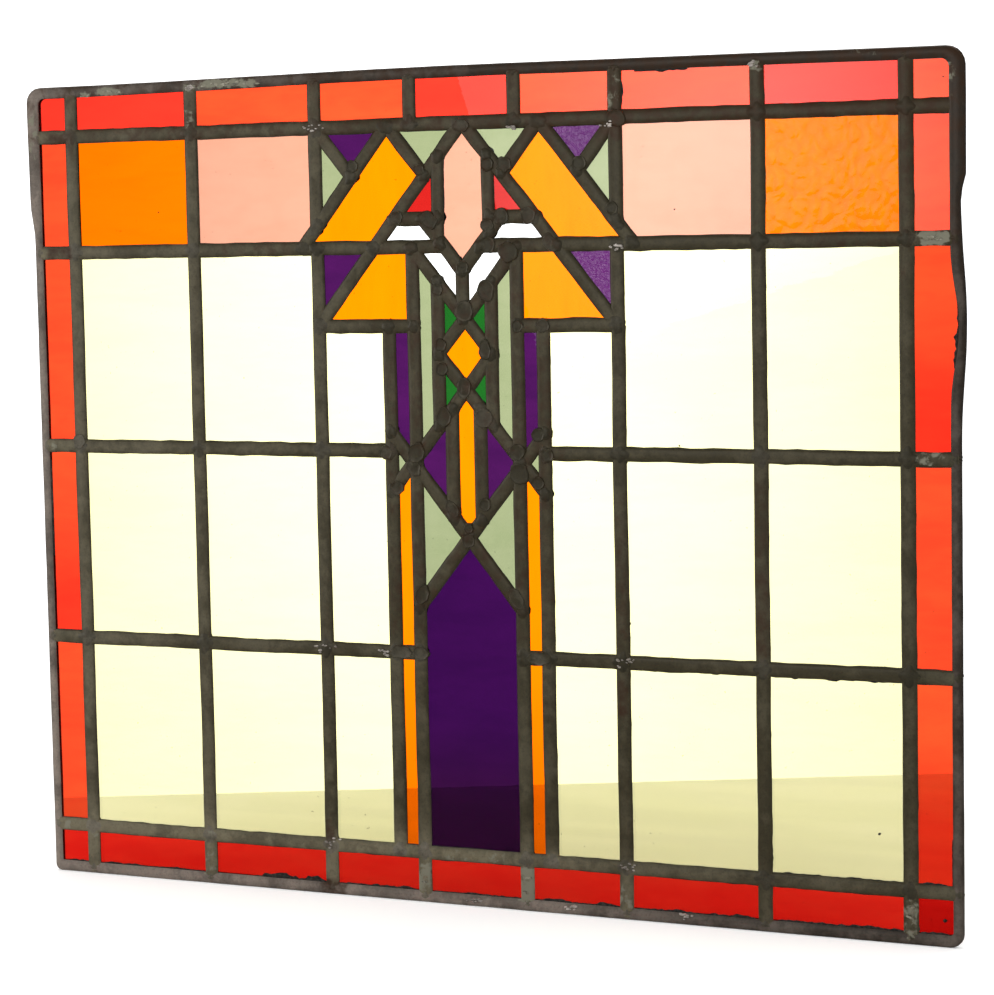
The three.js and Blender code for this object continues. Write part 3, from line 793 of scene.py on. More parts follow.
RUST_RUNS = (
    (96, 128, 2, 9, 0.55), (96, 158, 2, 4, 0.40), (97, 455, 3, 6, 0.60), (-276, 388.5, 8, 2, 0.64),
    (-273, 459.5, 9, 2, 0.56), (-96, 42, 2, 8, 0.46), (-96, 31, 3, 3, 0.40), (-94, 4, 7, 4, 0.58),
    (180.7, 205, 3, 50, 0.42), (96, 205, 3, 44, 0.38), (-140, 388.5, 30, 3, 0.38),
)
FADES_OVER = 5.0
ORNAMENT_FOOT, ORNAMENT_TOP = 160, 456


def amount_at(scraps, x, z):
    """How much of a scrap lies at a place of the panel, from none to its whole amount."""
    most = 0.0
    for at_x, at_z, half_x, half_z, amount in scraps:
        outside = math.hypot(max(abs(x - at_x) - half_x, 0), max(abs(z - at_z) - half_z, 0))
        most = max(most, amount * max(0.0, 1 - outside / FADES_OVER))
    return most


def ramp(value, start, end):
    return min(1.0, max(0.0, (value - start) / (end - start)))


def dusting_and_light_at(x, z):
    """Pale dust and painted light: thick along the bottom and down the left side, and taken off by painted
    shade at the upper right and in the ornament.
    """
    low = ramp(z, 46, 32) * (0.55 - x / 800 + 0.34 * ramp(abs(x), 130, 0))
    left_side = 0.34 * ramp(x, -70, -290)
    edge = (0.31 + 0.10 * ramp(z, 240, 120)) * (x < -284) + 0.14 * (x > 287) * ramp(z, 400, 280)
    # Painted shade: less pale at the upper right and in the ornament.
    painted_shade = 0.20 * ramp(z, 380, 430) * ramp(x, -40, 120) + 0.10 * ramp(x, 40, 100) + 0.12 * in_ornament(x, z)
    return low + left_side + edge - painted_shade


def brown_shade_at(x, z):
    """Painted shade: a thin brown darkening over the top of the window, on its right half and in the
    ornament.
    """
    top = ramp(z, 420, 455) * (0.40 + 0.10 * ramp(x, -60, 120))
    return max(top, 0.36 * in_ornament(x, z), 0.40 * ramp(x, 120, 220) * ramp(z, 330, 385))


def in_ornament(x, z):
    return float(abs(x) < 62 and ORNAMENT_FOOT < z < ORNAMENT_TOP)


print("scraps:", len(PAINT_SCRAPS), "of paint,", len(RUST_RUNS), "of rust")

# %% [markdown]
# ## Shared bench moves
# Every small mesh is made in millimetres and poured into a larger one, so a hundred cames become one
# piece. When a piece is finished it is turned to metres, its normals are pointed outwards, its marks
# of age and its painted light and shade are stored, and it is given its finish and its body.

# %% Pour and finish
def points_of(parts):
    return [part for part in parts if isinstance(part, bmesh.types.BMVert)]


def pour(small, large, matrix=None):
    """Adds a small mesh to a large one, placed by a matrix, and frees the small one."""
    if matrix is not None:
        bmesh.ops.transform(small, matrix=matrix, verts=small.verts)
    carrier = bpy.data.meshes.new("carrier")
    small.to_mesh(carrier)
    small.free()
    large.from_mesh(carrier)
    bpy.data.meshes.remove(carrier)


def finish_piece(bm, name, look, sharp=40, aged=False):
    bmesh.ops.recalc_face_normals(bm, faces=bm.faces)
    if aged:
        # Besides paint and rust, these marks hold painted light and shade: paler at the bottom and left,
        # browner at the top, the right half and the ornament.
        paint, rust_and_shade, dusting_and_light = [bm.verts.layers.float.new(mark) for mark in ("paint", "rust_and_shade", "dusting_and_light")]
        for vert in bm.verts:
            x, depth, z = vert.co
            front = 1.0 if depth < 0.5 else 0.25
            vert[paint] = front * amount_at(PAINT_SCRAPS, x, z)
            vert[rust_and_shade] = max(brown_shade_at(x, z), front * amount_at(RUST_RUNS, x, z))
            vert[dusting_and_light] = dusting_and_light_at(x, z)
    bmesh.ops.scale(bm, vec=(MM, MM, MM), verts=bm.verts)
    mesh = bpy.data.meshes.new(name)
    bm.to_mesh(mesh)
    bm.free()
    for face in mesh.polygons:
        face.use_smooth = True
    mesh.set_sharp_from_angle(angle=math.radians(sharp))
    mesh.materials.append(look)
    piece = bpy.data.objects.new(name, mesh)
    scene.collection.objects.link(piece)
    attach(piece, "root")
    mesh.calc_loop_triangles()
    print(name, "has", len(mesh.loop_triangles), "triangles")
    return piece


print("bench moves ready")

# %% [markdown]
# ## The cames
# A came is drawn lead with an H section: two slightly domed faces joined by a heart. A quarter of the
# section is enough, because mirroring it twice gives the rest, and the outline is filled as one
# face. Extruding that face gives a straight bar, and cutting the long edges every few millimetres
# lets it bend. Lead is soft, so no came is quite straight: each sways a little between its joints,
# its edges are dressed down on to the glass unevenly, and its face has shallow dents. Noise that
# starts from a different number for each came moves the cuts. The face at the back is a little
# narrower, and the uprights' faces were dressed a little wider than the others. How near a point is
# to the came's ridge is stored on the mesh as painted sheen: the ridge is painted brighter and the
# edges darker, a painted highlight and painted shade. The whole net is set over by a little more
# than half a millimetre, as the real one has slipped.

# %% The came's section, and a bar of it
CAME_QUARTER = (
    (0.9, 0), (0.9, 1.56), (3.86, 1.52), (4.0, 1.80), (3.7, 2.24), (2.9, 2.56), (1.5, 2.74), (0, 2.8),
)


def filled_section(quarter):
    """A section outline made from one quarter by mirroring it both ways, and filled."""
    bm = bmesh.new()
    chain = [bm.verts.new((across, depth, 0)) for across, depth in quarter]
    for start, end in zip(chain, chain[1:]):
        bm.edges.new((start, end))
    for axis in "XY":
        bmesh.ops.mirror(bm, geom=bm.verts[:] + bm.edges[:], axis=axis, merge_dist=0.001)
    bmesh.ops.contextual_create(bm, geom=bm.edges[:])
    return bm


def cut_bar(bm, length, every):
    """Extrudes the filled section along +Z and cuts the long edges at even steps."""
    grown = bmesh.ops.extrude_face_region(bm, geom=bm.faces[:])["geom"]
    bmesh.ops.translate(bm, vec=(0, 0, length), verts=points_of(grown))
    long_edges = [edge for edge in bm.edges if abs(edge.verts[0].co.z - edge.verts[1].co.z) > length / 2]
    bmesh.ops.subdivide_edges(bm, edges=long_edges, cuts=max(1, round(length / every) - 1))


print("points in a quarter of the section:", len(CAME_QUARTER))

# %% One came
BACK_FACE = 0.76
SET_OVER = 0.6
UPRIGHT_SPREAD = 1.10
CUT_EVERY = 6.0
SWAY, SWAY_OVER = 0.34, 60.0
DRESSED, DRESSED_OVER = 0.20, 19.0
DENT, DENT_OVER = 0.20, 22.0
FACE_FROM = 2.0


def hand_bent(point, length, seed):
    """Where a point of a straight came goes once hands have worked the lead."""
    across, depth, along = point
    free = min(1.0, min(along, length - along) / 14.0)
    sway = SWAY * noise.noise((seed * 3.7, along / SWAY_OVER, 0.3)) * free
    side = 1.0 if across > 0 else -1.0
    near_edge = min(1.0, abs(across) / HALF_FACE) ** 2
    uneven = noise.noise((seed * 5.1 + side * 2.3, along / DRESSED_OVER, 1.7))
    dressed = side * near_edge * DRESSED * uneven
    face = 1.0 if depth > 0 else -1.0
    dent = face * DENT * noise.noise((seed * 1.9 + face, along / DENT_OVER, across / 9.0))
    if abs(depth) < FACE_FROM:
        dent = 0.0
    return Vector((across + sway + dressed, depth + dent, along))


def panel_matrix(line):
    """Turns a bar that stands on +Z at the origin to lie along a line of the panel."""
    (x0, z0), (x1, z1) = line
    along = Vector((x1 - x0, 0, z1 - z0)).normalized()
    across = Vector((along.z, 0, -along.x))
    turn = Matrix((across, Vector((0, 1, 0)), along)).transposed().to_4x4()
    return Matrix.Translation((x0 + SET_OVER, 0, z0)) @ turn


def line_length(line):
    return math.dist(line[0], line[1])


def add_came(large, line, seed, thinner=0.0):
    length = line_length(line)
    bm = filled_section(CAME_QUARTER)
    cut_bar(bm, length, CUT_EVERY)
    # Painted sheen: highest on the ridge of each face, none at its edges.
    rub = bm.verts.layers.float.new("rub")
    for vert in bm.verts:
        vert[rub] = max(0.0, 1 - (abs(vert.co.x) / 3.6) ** 2) if abs(vert.co.y) > FACE_FROM else 0.0
        if line[0][0] == line[1][0]:
            vert.co.x *= UPRIGHT_SPREAD
        if vert.co.y > 1.4 and abs(vert.co.x) > 1:
            vert.co.x *= BACK_FACE
        if abs(vert.co.y) > FACE_FROM:
            vert.co.y *= 1 - thinner
        vert.co = hand_bent(vert.co, length, seed)
    pour(bm, large, panel_matrix(line))


print("came faces:", 2 * HALF_FACE, "mm wide")

# %% All the cames
THINNER_STEP = 0.012
for name, lines, first_seed in (("cames_grid", grid_lines, 1), ("cames_ornament", inner_lines, 101)):
    net = bmesh.new()
    for number, line in enumerate(lines):
        add_came(net, line, first_seed + number, THINNER_STEP * (number % 4))
    piece = finish_piece(net, name, inner_lead, aged=True)
    if name == "cames_grid":
        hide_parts("lead_net")

# %% [markdown]
# ## The border came
# The outside came is folded shut, so its outer edge is a rounded wall. It has taken all the knocks:
# it is swollen at both top corners and bulges out half way up the right side, where it has pulled
# away from the glass. It is grown as a skin of rings. The first ring is a circle whose points are
# moved to the outline, and each next ring is extruded from the last and moved inwards and up the
# section. At the end the last ring is bridged to the first.

# %% The outline of the panel
CORNERS = {"bottom_right": 7.0, "top_right": 10.0, "top_left": 9.0, "bottom_left": 4.0}
CORNER_STEPS = 6
SIDE_STEPS = 64
END_STEPS = 76
SIDE_FACE, END_FACE = 5.2, 6.6
CORNER_X, CORNER_Z = 290, 478


def bump(at, reach, height, where):
    """A smooth swelling: its height at its middle, and nothing past its reach."""
    share = abs(where - at) / reach
    return height * math.cos(math.pi / 2 * share) ** 2 if share < 1 else 0.0


def step_up(at, over, where):
    """Nothing below a height, all above it, and eased over a few millimetres between."""
    share = min(1.0, max(0.0, (where - at) / over))
    return share * share * (3 - 2 * share)


def left_edge(z):
    return -LEFT_SIDE - 2.7 * step_up(396, 24, z)


def right_edge(z):
    return RIGHT_SIDE + 2.8 * step_up(412, 9, z) + bump(343, 66, 3.0, z)


def top_edge(x):
    return PANEL_HEIGHT + bump(0, 285, 2.4, x) + 1.0 * step_up(60, 160, x)


def face_at_right(z):
    """The border's face gets narrower behind the bulge, where it has left the glass."""
    return SIDE_FACE + 2.8 * step_up(412, 9, z) - bump(341, 44, 4.6, z) + bump(343, 66, 3.0, z)


def face_at_left(z):
    return SIDE_FACE + 2.7 * step_up(396, 24, z)


print("top edge, middle and ends:", [round(top_edge(x), 1) for x in (0, -CORNER_X, CORNER_X)])


# %% A point of the outline
def outline_point(station, inwards):
    """A point of the border: a station round the outline, moved inwards by a share of the face."""
    side_in, end_in = SIDE_FACE * inwards, END_FACE * inwards
    radius = {name: max(size - side_in, 0.6) for name, size in CORNERS.items()}
    top_right_x = right_edge(CORNER_Z) - face_at_right(CORNER_Z) * inwards
    top_left_x = left_edge(CORNER_Z) + face_at_left(CORNER_Z) * inwards
    top_right_z, top_left_z = top_edge(CORNER_X) - end_in, top_edge(-CORNER_X) - end_in
    centres = {
        "bottom_right": (right_edge(0) - side_in - radius["bottom_right"], end_in + radius["bottom_right"]),
        "top_right": (top_right_x - radius["top_right"], top_right_z - radius["top_right"]),
        "top_left": (top_left_x + radius["top_left"], top_left_z - radius["top_left"]),
        "bottom_left": (left_edge(0) + side_in + radius["bottom_left"], end_in + radius["bottom_left"]),
    }
    runs = (
        ("bottom_right", "top_right", SIDE_STEPS, -90),
        ("top_right", "top_left", END_STEPS, 0),
        ("top_left", "bottom_left", SIDE_STEPS, 90),
        ("bottom_left", "bottom_right", END_STEPS, 180),
    )
    for start, end, steps, angle in runs:
        if station < CORNER_STEPS:
            turn = math.radians(angle + 90 * station / (CORNER_STEPS - 1))
            x, z = centres[start]
            return x + radius[start] * math.cos(turn), z + radius[start] * math.sin(turn)
        station -= CORNER_STEPS
        if station < steps:
            share = (station + 1) / (steps + 1)
            (x0, z0), (x1, z1) = centres[start], centres[end]
            x, z = x0 + (x1 - x0) * share, z0 + (z1 - z0) * share
            if angle == -90:
                return right_edge(z) - face_at_right(z) * inwards, z
            if angle == 0:
                return x, top_edge(x) - end_in
            if angle == 90:
                return left_edge(z) + face_at_left(z) * inwards, z
            return x, end_in
        station -= steps
    raise ValueError("no such station")


STATIONS = 4 * CORNER_STEPS + 2 * SIDE_STEPS + 2 * END_STEPS
print("stations round the border:", STATIONS)

# %% Rings that grow
def grow_rings(segments, rings, put, join):
    """A skin grown ring by ring: put(ring, number) is a point. join is "caps" or "loop"."""
    bm = bmesh.new()
    bmesh.ops.create_circle(bm, segments=segments, radius=1)
    numbers = {vert: number for number, vert in enumerate(bm.verts)}
    edges = first = bm.edges[:]
    for vert, number in numbers.items():
        vert.co = put(0, number)
    for ring in range(1, rings):
        grown = bmesh.ops.extrude_edge_only(bm, edges=edges)["geom"]
        edges = [part for part in grown if isinstance(part, bmesh.types.BMEdge)]
        fresh = {}
        for vert in points_of(grown):
            below = next(e.other_vert(vert) for e in vert.link_edges if e.other_vert(vert) in numbers)
            fresh[vert] = numbers[below]
        for vert, number in fresh.items():
            vert.co = put(ring, number)
        numbers = fresh
    if join == "loop":
        bmesh.ops.bridge_loops(bm, edges=first + edges)
    else:
        bmesh.ops.holes_fill(bm, edges=first + edges, sides=segments)
    return bm


print("rings ready")

# %% The border itself
BORDER_HALF = (
    (0.0, 0.0), (-0.01, 1.3), (0.02, 2.0), (0.10, 2.50), (0.26, 2.80), (0.48, 2.86), (0.70, 2.72),
    (0.88, 2.38), (1.0, 1.95), (1.0, 1.52), (0.36, 1.52), (0.36, 0.0),
)
BORDER_SECTION = BORDER_HALF + tuple((inwards, -depth) for inwards, depth in BORDER_HALF[-2:0:-1])


def swelling(x, z):
    """How far the border's face stands up: most at the swollen corners."""
    corner = bump(470, 60, 0.5, z) * (abs(x) > 270)
    return corner + bump(343, 60, 0.25, z) * (x > 270)


def border_point(ring, station):
    inwards, depth = BORDER_SECTION[ring]
    x, z = outline_point(station, inwards)
    face = 1.0 if depth > 0 else -1.0
    wander = noise.noise((x / 26.0, z / 26.0, 9.0)) * 0.30
    knock = noise.noise((x / 10.0, z / 10.0, 3.0 + face)) * 0.18
    if inwards > 0.8 and abs(depth) < 2.6:
        x, z = outline_point(station, inwards + 0.07 * knock + 0.06 * wander)
    if inwards < 0.2:
        x, z = outline_point(station, inwards - 0.05 * wander - 0.02 * knock - 0.02)
    if abs(depth) > 1.9:
        depth += face * (knock * 0.6 + wander * 0.5 + swelling(x, z))
    return Vector((x, depth, z))


border = grow_rings(STATIONS, len(BORDER_SECTION), border_point, "loop")
# Painted sheen on the border: brighter where its face stands highest.
rub = border.verts.layers.float.new("rub")
for vert in border.verts:
    vert[rub] = max(0.0, (abs(vert.co.y) - 2.3) / 0.6)
finish_piece(border, "border_came", border_lead, aged=True)

# %% [markdown]
# ## Finding the joints
# Every place where two cames meet is soldered, on the front and on the back. Working the places out
# from the lines is safer than listing them: two lines make a joint where they cross or where one
# ends on the other. The border is one bent strip, so its corners have no joint. Joints closer than a
# few millimetres run together into one. The directions in which cames leave a joint are worked out
# too, because wiped solder creeps a little way along each came.

# %% Joints from the lines
BORDER_LINES = [
    level(3.4, -LEFT_SIDE, RIGHT_SIDE),
    level(PANEL_HEIGHT - 2.4, -LEFT_SIDE, RIGHT_SIDE),
    upright(-LEFT_SIDE + 2.4, 0.0, PANEL_HEIGHT),
    upright(RIGHT_SIDE - 2.4, 0.0, PANEL_HEIGHT),
]
ALL_LINES = grid_lines + inner_lines + BORDER_LINES
END_SLACK = 5.0
SAME_JOINT = 6.5
PULLED_IN = 0.4
OFF_LINE = 3.5
SHORTEST_ARM = 9.0
SAME_WAY = 0.3


def meeting(first, second):
    """The point where two lines meet, if both reach it, or None."""
    (ax, az), (bx, bz) = first
    (cx, cz), (dx, dz) = second
    turn = (bx - ax) * (dz - cz) - (bz - az) * (dx - cx)
    if abs(turn) < 1e-6 * line_length(first) * line_length(second):
        return None
    along = ((cx - ax) * (dz - cz) - (cz - az) * (dx - cx)) / turn
    other = ((cx - ax) * (bz - az) - (cz - az) * (bx - ax)) / turn
    slack, other_slack = END_SLACK / line_length(first), END_SLACK / line_length(second)
    if -slack < along < 1 + slack and -other_slack < other < 1 + other_slack:
        return Vector((ax + (bx - ax) * along, az + (bz - az) * along))
    return None


def arms_at(point):
    """The directions in which cames leave a joint, as angles."""
    angles = []
    for start, end in ALL_LINES:
        a, b = Vector(start), Vector(end)
        along = (b - a).normalized()
        reach = (point - a).dot(along)
        if abs((point - a).cross(along)) > OFF_LINE or not -END_SLACK < reach < (b - a).length + END_SLACK:
            continue
        for way, room in ((along, (b - a).length - reach), (-along, reach)):
            angle = math.atan2(way.y, way.x)
            apart = [abs(math.remainder(angle - other, math.tau)) for other in angles]
            if room > SHORTEST_ARM and all(gap > SAME_WAY for gap in apart):
                angles.append(angle)
    return angles


print("lines that can meet:", len(ALL_LINES))

# %% The joints
joints = []
for number, line in enumerate(grid_lines + inner_lines):
    for other in ALL_LINES[number + 1 :]:
        point = meeting(line, other)
        if point is None:
            continue
        near = next((joint for joint in joints if (joint - point).length < SAME_JOINT), None)
        if near is None:
            joints.append(point)
        else:
            near += (point - near) * PULLED_IN
print("joints:", len(joints))

# %% [markdown]
# ## Solder
# A wiped joint is a low mound, longer along each came than across it. A drop is solder that was left
# as it fell: round and flat like a coin, with a thin raised rim, and often wider than the came, so
# that it overhangs the glass. Its rim is painted brighter, a painted highlight. Both are the same skin
# of rings with a different outline, closed at top and bottom. The ornament's joints are crowded, and
# most are drops. The back has its own, in the same places but never the same shape.

# %% One mound of solder
MOUND_SEGMENTS = 26
UNEVEN, LUMPY = 0.24, 0.16
LOW_MOUND = ((1.0, 0.0), (0.97, 0.34), (0.78, 0.66), (0.52, 0.88), (0.24, 0.98))
STEEP_DROP = (
    (0.98, 0.0), (1.0, 0.45), (0.97, 0.84), (0.90, 1.0), (0.80, 0.93), (0.66, 0.84), (0.34, 0.86),
)


def mound_reach(angle, arms, core, length, width):
    """How far a mound spreads at an angle: its round core, or further along a came."""
    reach = core
    for arm in arms:
        turned = math.remainder(angle - arm, math.tau)
        if abs(turned) < math.pi / 2:
            reach = max(reach, 1 / math.hypot(math.cos(turned) / length, math.sin(turned) / width))
    return reach


def both_ways(angle):
    return [angle, angle + math.pi]


def add_mound(large, x, z, arms, core, length, width, foot, top, shape, seed, face=-1, rim_sheen=0.0):
    """One mound on the front (face -1) or the back (face 1) of the lead. The rim argument is how bright its
    rim is painted, a painted highlight.
    """

    def put(ring, number):
        out, up = shape[ring]
        angle = math.tau * number / MOUND_SEGMENTS
        at = (math.cos(angle) * 1.6 + seed * 3.1, math.sin(angle) * 1.6, seed * 0.7)
        reach = mound_reach(angle, arms, core, length, width) * (1 + UNEVEN * noise.noise(at)) * out
        across, along = reach * math.cos(angle), reach * math.sin(angle)
        lumpy = LUMPY * noise.noise((across / 2.6 + seed, along / 2.6, face * 4.0)) * up
        return Vector((x + SET_OVER + across, face * (foot + (top - foot) * up + lumpy), z + along))

    mound = grow_rings(MOUND_SEGMENTS, len(shape), put, "caps")
    # Painted sheen: a little on every mound, and on drops a broken ring of painted highlight round the rim.
    rub = mound.verts.layers.float.new("rub")
    for vert in mound.verts:
        out = math.hypot(vert.co.x - x - SET_OVER, vert.co.z - z) / max(core, 0.1)
        broken = max(0.0, 0.15 + 2.2 * noise.noise((vert.co.x / 4.0, vert.co.z / 4.0, seed)))
        vert[rub] = 0.35 + rim_sheen * max(0.0, 1 - abs(out - 0.9) / 0.14) * broken
    pour(mound, large)


print("points round a mound:", MOUND_SEGMENTS)

# %% Wiped joints, front and back
GRID_MOUND = {"core": 3.3, "length": 7.6, "width": 3.7, "foot": 1.9, "top": 3.12}
INNER_MOUND = {"core": 3.8, "length": 5.6, "width": 3.7, "foot": 1.8, "top": 3.3}
solder = {-1: bmesh.new(), 1: bmesh.new()}
for number, joint in enumerate(joints):
    crowded = abs(joint.x) < 90 and ORNAMENT_FOOT < joint.y < ORNAMENT_TOP
    on_border = joint.x < -285 or joint.x > 287 or joint.y < 8 or joint.y > 482
    size = dict(INNER_MOUND if crowded else GRID_MOUND)
    if on_border:
        size |= {"core": 1.4, "length": 4.2, "width": 1.9, "top": 3.0}
    grow = 1 + 0.22 * noise.noise((joint.x / 20.0, joint.y / 20.0, 2.0))
    size["core"] *= grow
    size["length"] *= grow
    for face in (-1, 1):
        size |= {"shape": LOW_MOUND, "seed": number + face * 0.37, "face": face}
        add_mound(solder[face], joint.x, joint.y, arms_at(joint), **size)
print("wiped joints:", 2 * len(joints))

# %% [markdown]
# The drops are listed by place and size: across, up and radius, and for some how far they are drawn
# out and along which angle. The ones on the right half were left rounder and larger than those on
# the left, and their rims are painted with a brighter highlight.

# %% Drops of solder
DROPS = (
    (16.4, 435.2, 3.9), (27.2, 434.6, 4.7), (-27.2, 433.2, 3.6), (25, 404.8, 4.9), (41.7, 405.8, 4.9),
    (15.7, 400.2, 4.3), (15.8, 389.2, 4.9), (28.5, 385, 6.4), (55.5, 389.5, 4.2, 6.2, -50),
    (74, 434.5, 4.3), (93.5, 409, 3.9), (97, 458.5, 4.9, 6.2, 0), (-21, 403.5, 5.0, 6.0, -40),
    (-41.6, 405.8, 3.4), (14.4, 362.8, 6.2), (-17, 363.5, 3.7), (-0.3, 376, 4.0),
    (0, 351, 5.9, 6.6, 90), (-15.5, 331.5, 3.9), (-15, 317.5, 4.1), (12.8, 328.5, 3.8, 6.2, 90),
    (-1.2, 306, 4.8, 6.2, 90), (-14, 289.3, 4.7, 5.9, 90), (11.4, 289.3, 6.1), (45.2, 279.8, 4.1),
    (31.5, 269.5, 5.2), (33, 257, 6.5), (50.5, 268, 4.5), (-33, 268, 5.4, 6.4, 60),
    (-35, 259.5, 4.6, 5.8, 120), (-53, 268, 4.4), (-46, 248, 4.3), (44.6, 251.5, 4.2), (11, 238.6, 3.7),
    (-10, 235, 3.7, 5.8, -50), (0.2, 224.5, 3.3), (0, 216.8, 4.2), (30, 183.5, 4.4, 7.0, 120),
    (-31, 184, 4.3, 6.0, 60), (33.5, 342, 3.8), (50, 342.5, 4.1), (-70.5, 436, 4.0),
    (-46, 149.5, 3.9, 8.0, 0), (-33, 149.5, 4.1, 5.2, 0), (44, 149.5, 3.9, 8.5, 0),
    (0.5, 458, 4.4, 5.2, 0), (-266.5, 272.5, 4.4),
)
# How bright the drops' rims are painted: a painted highlight, brighter on the right.
LEFT_RIM_SHEEN, RIGHT_RIM_SHEEN = 1.4, 3.2
BACK_SHARE = 0.75
DROP_FOOT, DROP_TOP = 1.56, 3.45
for number, (x, z, radius, *drawn) in enumerate(DROPS):
    drawn_out, angle = drawn or (0, 0)
    arms = [math.radians(angle), math.radians(angle + 180)] if drawn_out else []
    rim_sheen = LEFT_RIM_SHEEN if x < 0 else RIGHT_RIM_SHEEN
    for face, share in ((-1, 1.0), (1, BACK_SHARE)):
        step = 0.6 * face * noise.noise((number * 1.7, 0.5, 0.5))
        top = DROP_TOP + 0.4 * noise.noise((number * 2.3, 1.5, face * 3.0))
        sizes = (radius * share, drawn_out * share, radius * share, DROP_FOOT, top)
        add_mound(solder[face], x + step, z - step, arms, *sizes, STEEP_DROP, number * 1.31 + face, face, rim_sheen)
for face, name in ((-1, "solder_front"), (1, "solder_back")):
    finish_piece(solder[face], name, dull_solder, sharp=50, aged=True)

# %% [markdown]
# At some joints a cluster of small pale beads, longer across the window than up it, is a painted
# highlight for the glints on shiny solder. Each cluster is a place, and how far it spreads.

# %% Painted glints
GLINT_JOINTS = (
    (-96, 149.5, 6.0), (96.4, 149.8, 6.4), (-96, 31.5, 5.4), (96, 31, 4.6), (-96.4, 460, 5.0),
    (92.5, 455.5, 3.0), (97, 386.8, 3.0), (-57, 149.2, 2.4), (32.6, 456, 1.6), (178.8, 486, 2.2),
    (-180, 486.5, 2.2), (-1, 3.4, 3.6), (61, 4.4, 4.0), (133, 5.0, 3.4),
)
GLINTS_EACH = 10
GLINT_FOOT_AND_TOP = (2.4, 3.72)
glint_mounds = bmesh.new()
for number, (x, z, reach) in enumerate(GLINT_JOINTS):
    for glint_number in range(GLINTS_EACH):
        start = number * 7.3 + glint_number * 1.9
        aside = 2.2 * reach * noise.noise((start, 0.5, 1.5))
        above = 1.0 * reach * noise.noise((start, 2.5, 3.5))
        size = 0.40 + 0.7 * abs(noise.noise((start, 4.5, 5.5)))
        way = both_ways(math.radians(35 * noise.noise((start, 6.5, 7.5))))
        sizes = (size, size * 1.8, size, *GLINT_FOOT_AND_TOP)
        add_mound(glint_mounds, x + aside, z + above, way, *sizes, LOW_MOUND, start, rim_sheen=1.0)
finish_piece(glint_mounds, "painted_glints", glint_solder, sharp=50)

# %% [markdown]
# ## Cement and putty
# Cement shows as a thin dark line along each edge of the lead. It is one more bar, with a small
# wedge for its section, and it is bent by the same function as the came so that it stays against it.
# Its width comes and goes. Behind the glass it is paler, and is a piece of its own. Along
# the bottom border and beside the bulge old putty has crept out on to the glass in a ragged line,
# which is the same wedge with a much rougher edge.

# %% Cement lines
CEMENT_WEDGE = ((3.3, 1.50), (4.26, 1.50), (4.1, 1.66), (3.8, 1.84), (3.3, 1.78))
CEMENT_CUTS, RAGGED_CUTS = 7.0, 2.2


def add_cement(large, line, seed, side, face, ragged=0.0):
    length = line_length(line)
    bm = bmesh.new()
    wide = 1.0 if face < 0 else BACK_FACE
    corners = [bm.verts.new((side * across * wide, face * depth, 0)) for across, depth in CEMENT_WEDGE]
    bm.faces.new(corners)
    cut_bar(bm, length, RAGGED_CUTS if ragged else CEMENT_CUTS)
    for vert in bm.verts:
        along = vert.co.z
        if abs(vert.co.x) > 4.0 * wide:
            creep = 0.55 * noise.noise((seed * 2.9 + side, along / 5.5, face * 2.0))
            if ragged:
                tapered = min(1.0, min(along, length - along) / 6.0)
                patch = 0.4 + noise.noise((seed * 1.3, along / 14.0, 5.0))
                creep = ragged * tapered * max(0.0, patch + noise.noise((seed * 2.9, along / 3.0, 2.0)))
            vert.co.x += side * max(-0.38, creep)
        vert.co = hand_bent(vert.co, length, seed)
    pour(bm, large, panel_matrix(line))


for face, name, look in ((-1, "cement_lines", cement_look), (1, "cement_behind", pale_back_cement)):
    cement = bmesh.new()
    for first_seed, lines in ((1, grid_lines), (101, inner_lines)):
        for number, line in enumerate(lines):
            for side in (-1, 1):
                add_cement(cement, line, first_seed + number, side, face)
    finish_piece(cement, name, look, sharp=30)

# %% Putty that has crept out
PUTTY_CREEP = (
    ((-150, 2.9), (-100, 2.9), -1, 3.2), ((-258, 2.9), (-186, 2.9), -1, 0.7),
    ((-92, 2.9), (-40, 2.9), -1, 1.1), ((-28, 2.9), (30, 2.9), -1, 0.8),
    ((40, 2.9), (92, 2.9), -1, 1.4), ((102, 2.9), (174, 2.9), -1, 1.1),
    ((188, 2.9), (262, 2.9), -1, 1.2), ((271, 2.9), (287, 2.9), -1, 0.9),
    ((265.5, 4), (265.5, 27), 1, 1.2), ((293.2, 33), (293.2, 60), -1, 0.5),
    ((295.6, 318), (297.9, 341), -1, 1.5), ((297.9, 341), (297.4, 352), -1, 1.2),
    ((270, 30.3), (286, 30.3), -1, 0.9), ((108, 488.4), (140, 488.6), 1, 0.9),
    ((104, 149.5), (175, 149.5), 1, 0.7), ((186, 149.5), (261, 149.5), 1, 0.9),
    ((186, 30), (262, 30), -1, 0.7), ((180.7, 36), (180.7, 60), 1, 0.9), ((96, 466), (96, 482), 1, 0.9),
    ((-292.2, 200), (-292.2, 260), 1, 0.5), ((-284, 2.9), (-270, 2.9), -1, 1.2),
)
putty = bmesh.new()
for number, (start, end, side, ragged) in enumerate(PUTTY_CREEP):
    add_cement(putty, (start, end), 201 + number, side, -1, ragged)
ON_GLASS = 1.5
PUTTY_SPOTS = (
    (284.6, 14.6, 1.0), (-2.0, 381.4, 0.8), (131.0, 407.0, 0.4), (-205.0, 412.0, 0.4),
    (99.8, 171.6, 0.9), (132.0, 274.4, 0.5), (286.2, 474.6, 0.4), (247.5, 60.4, 0.7),
)
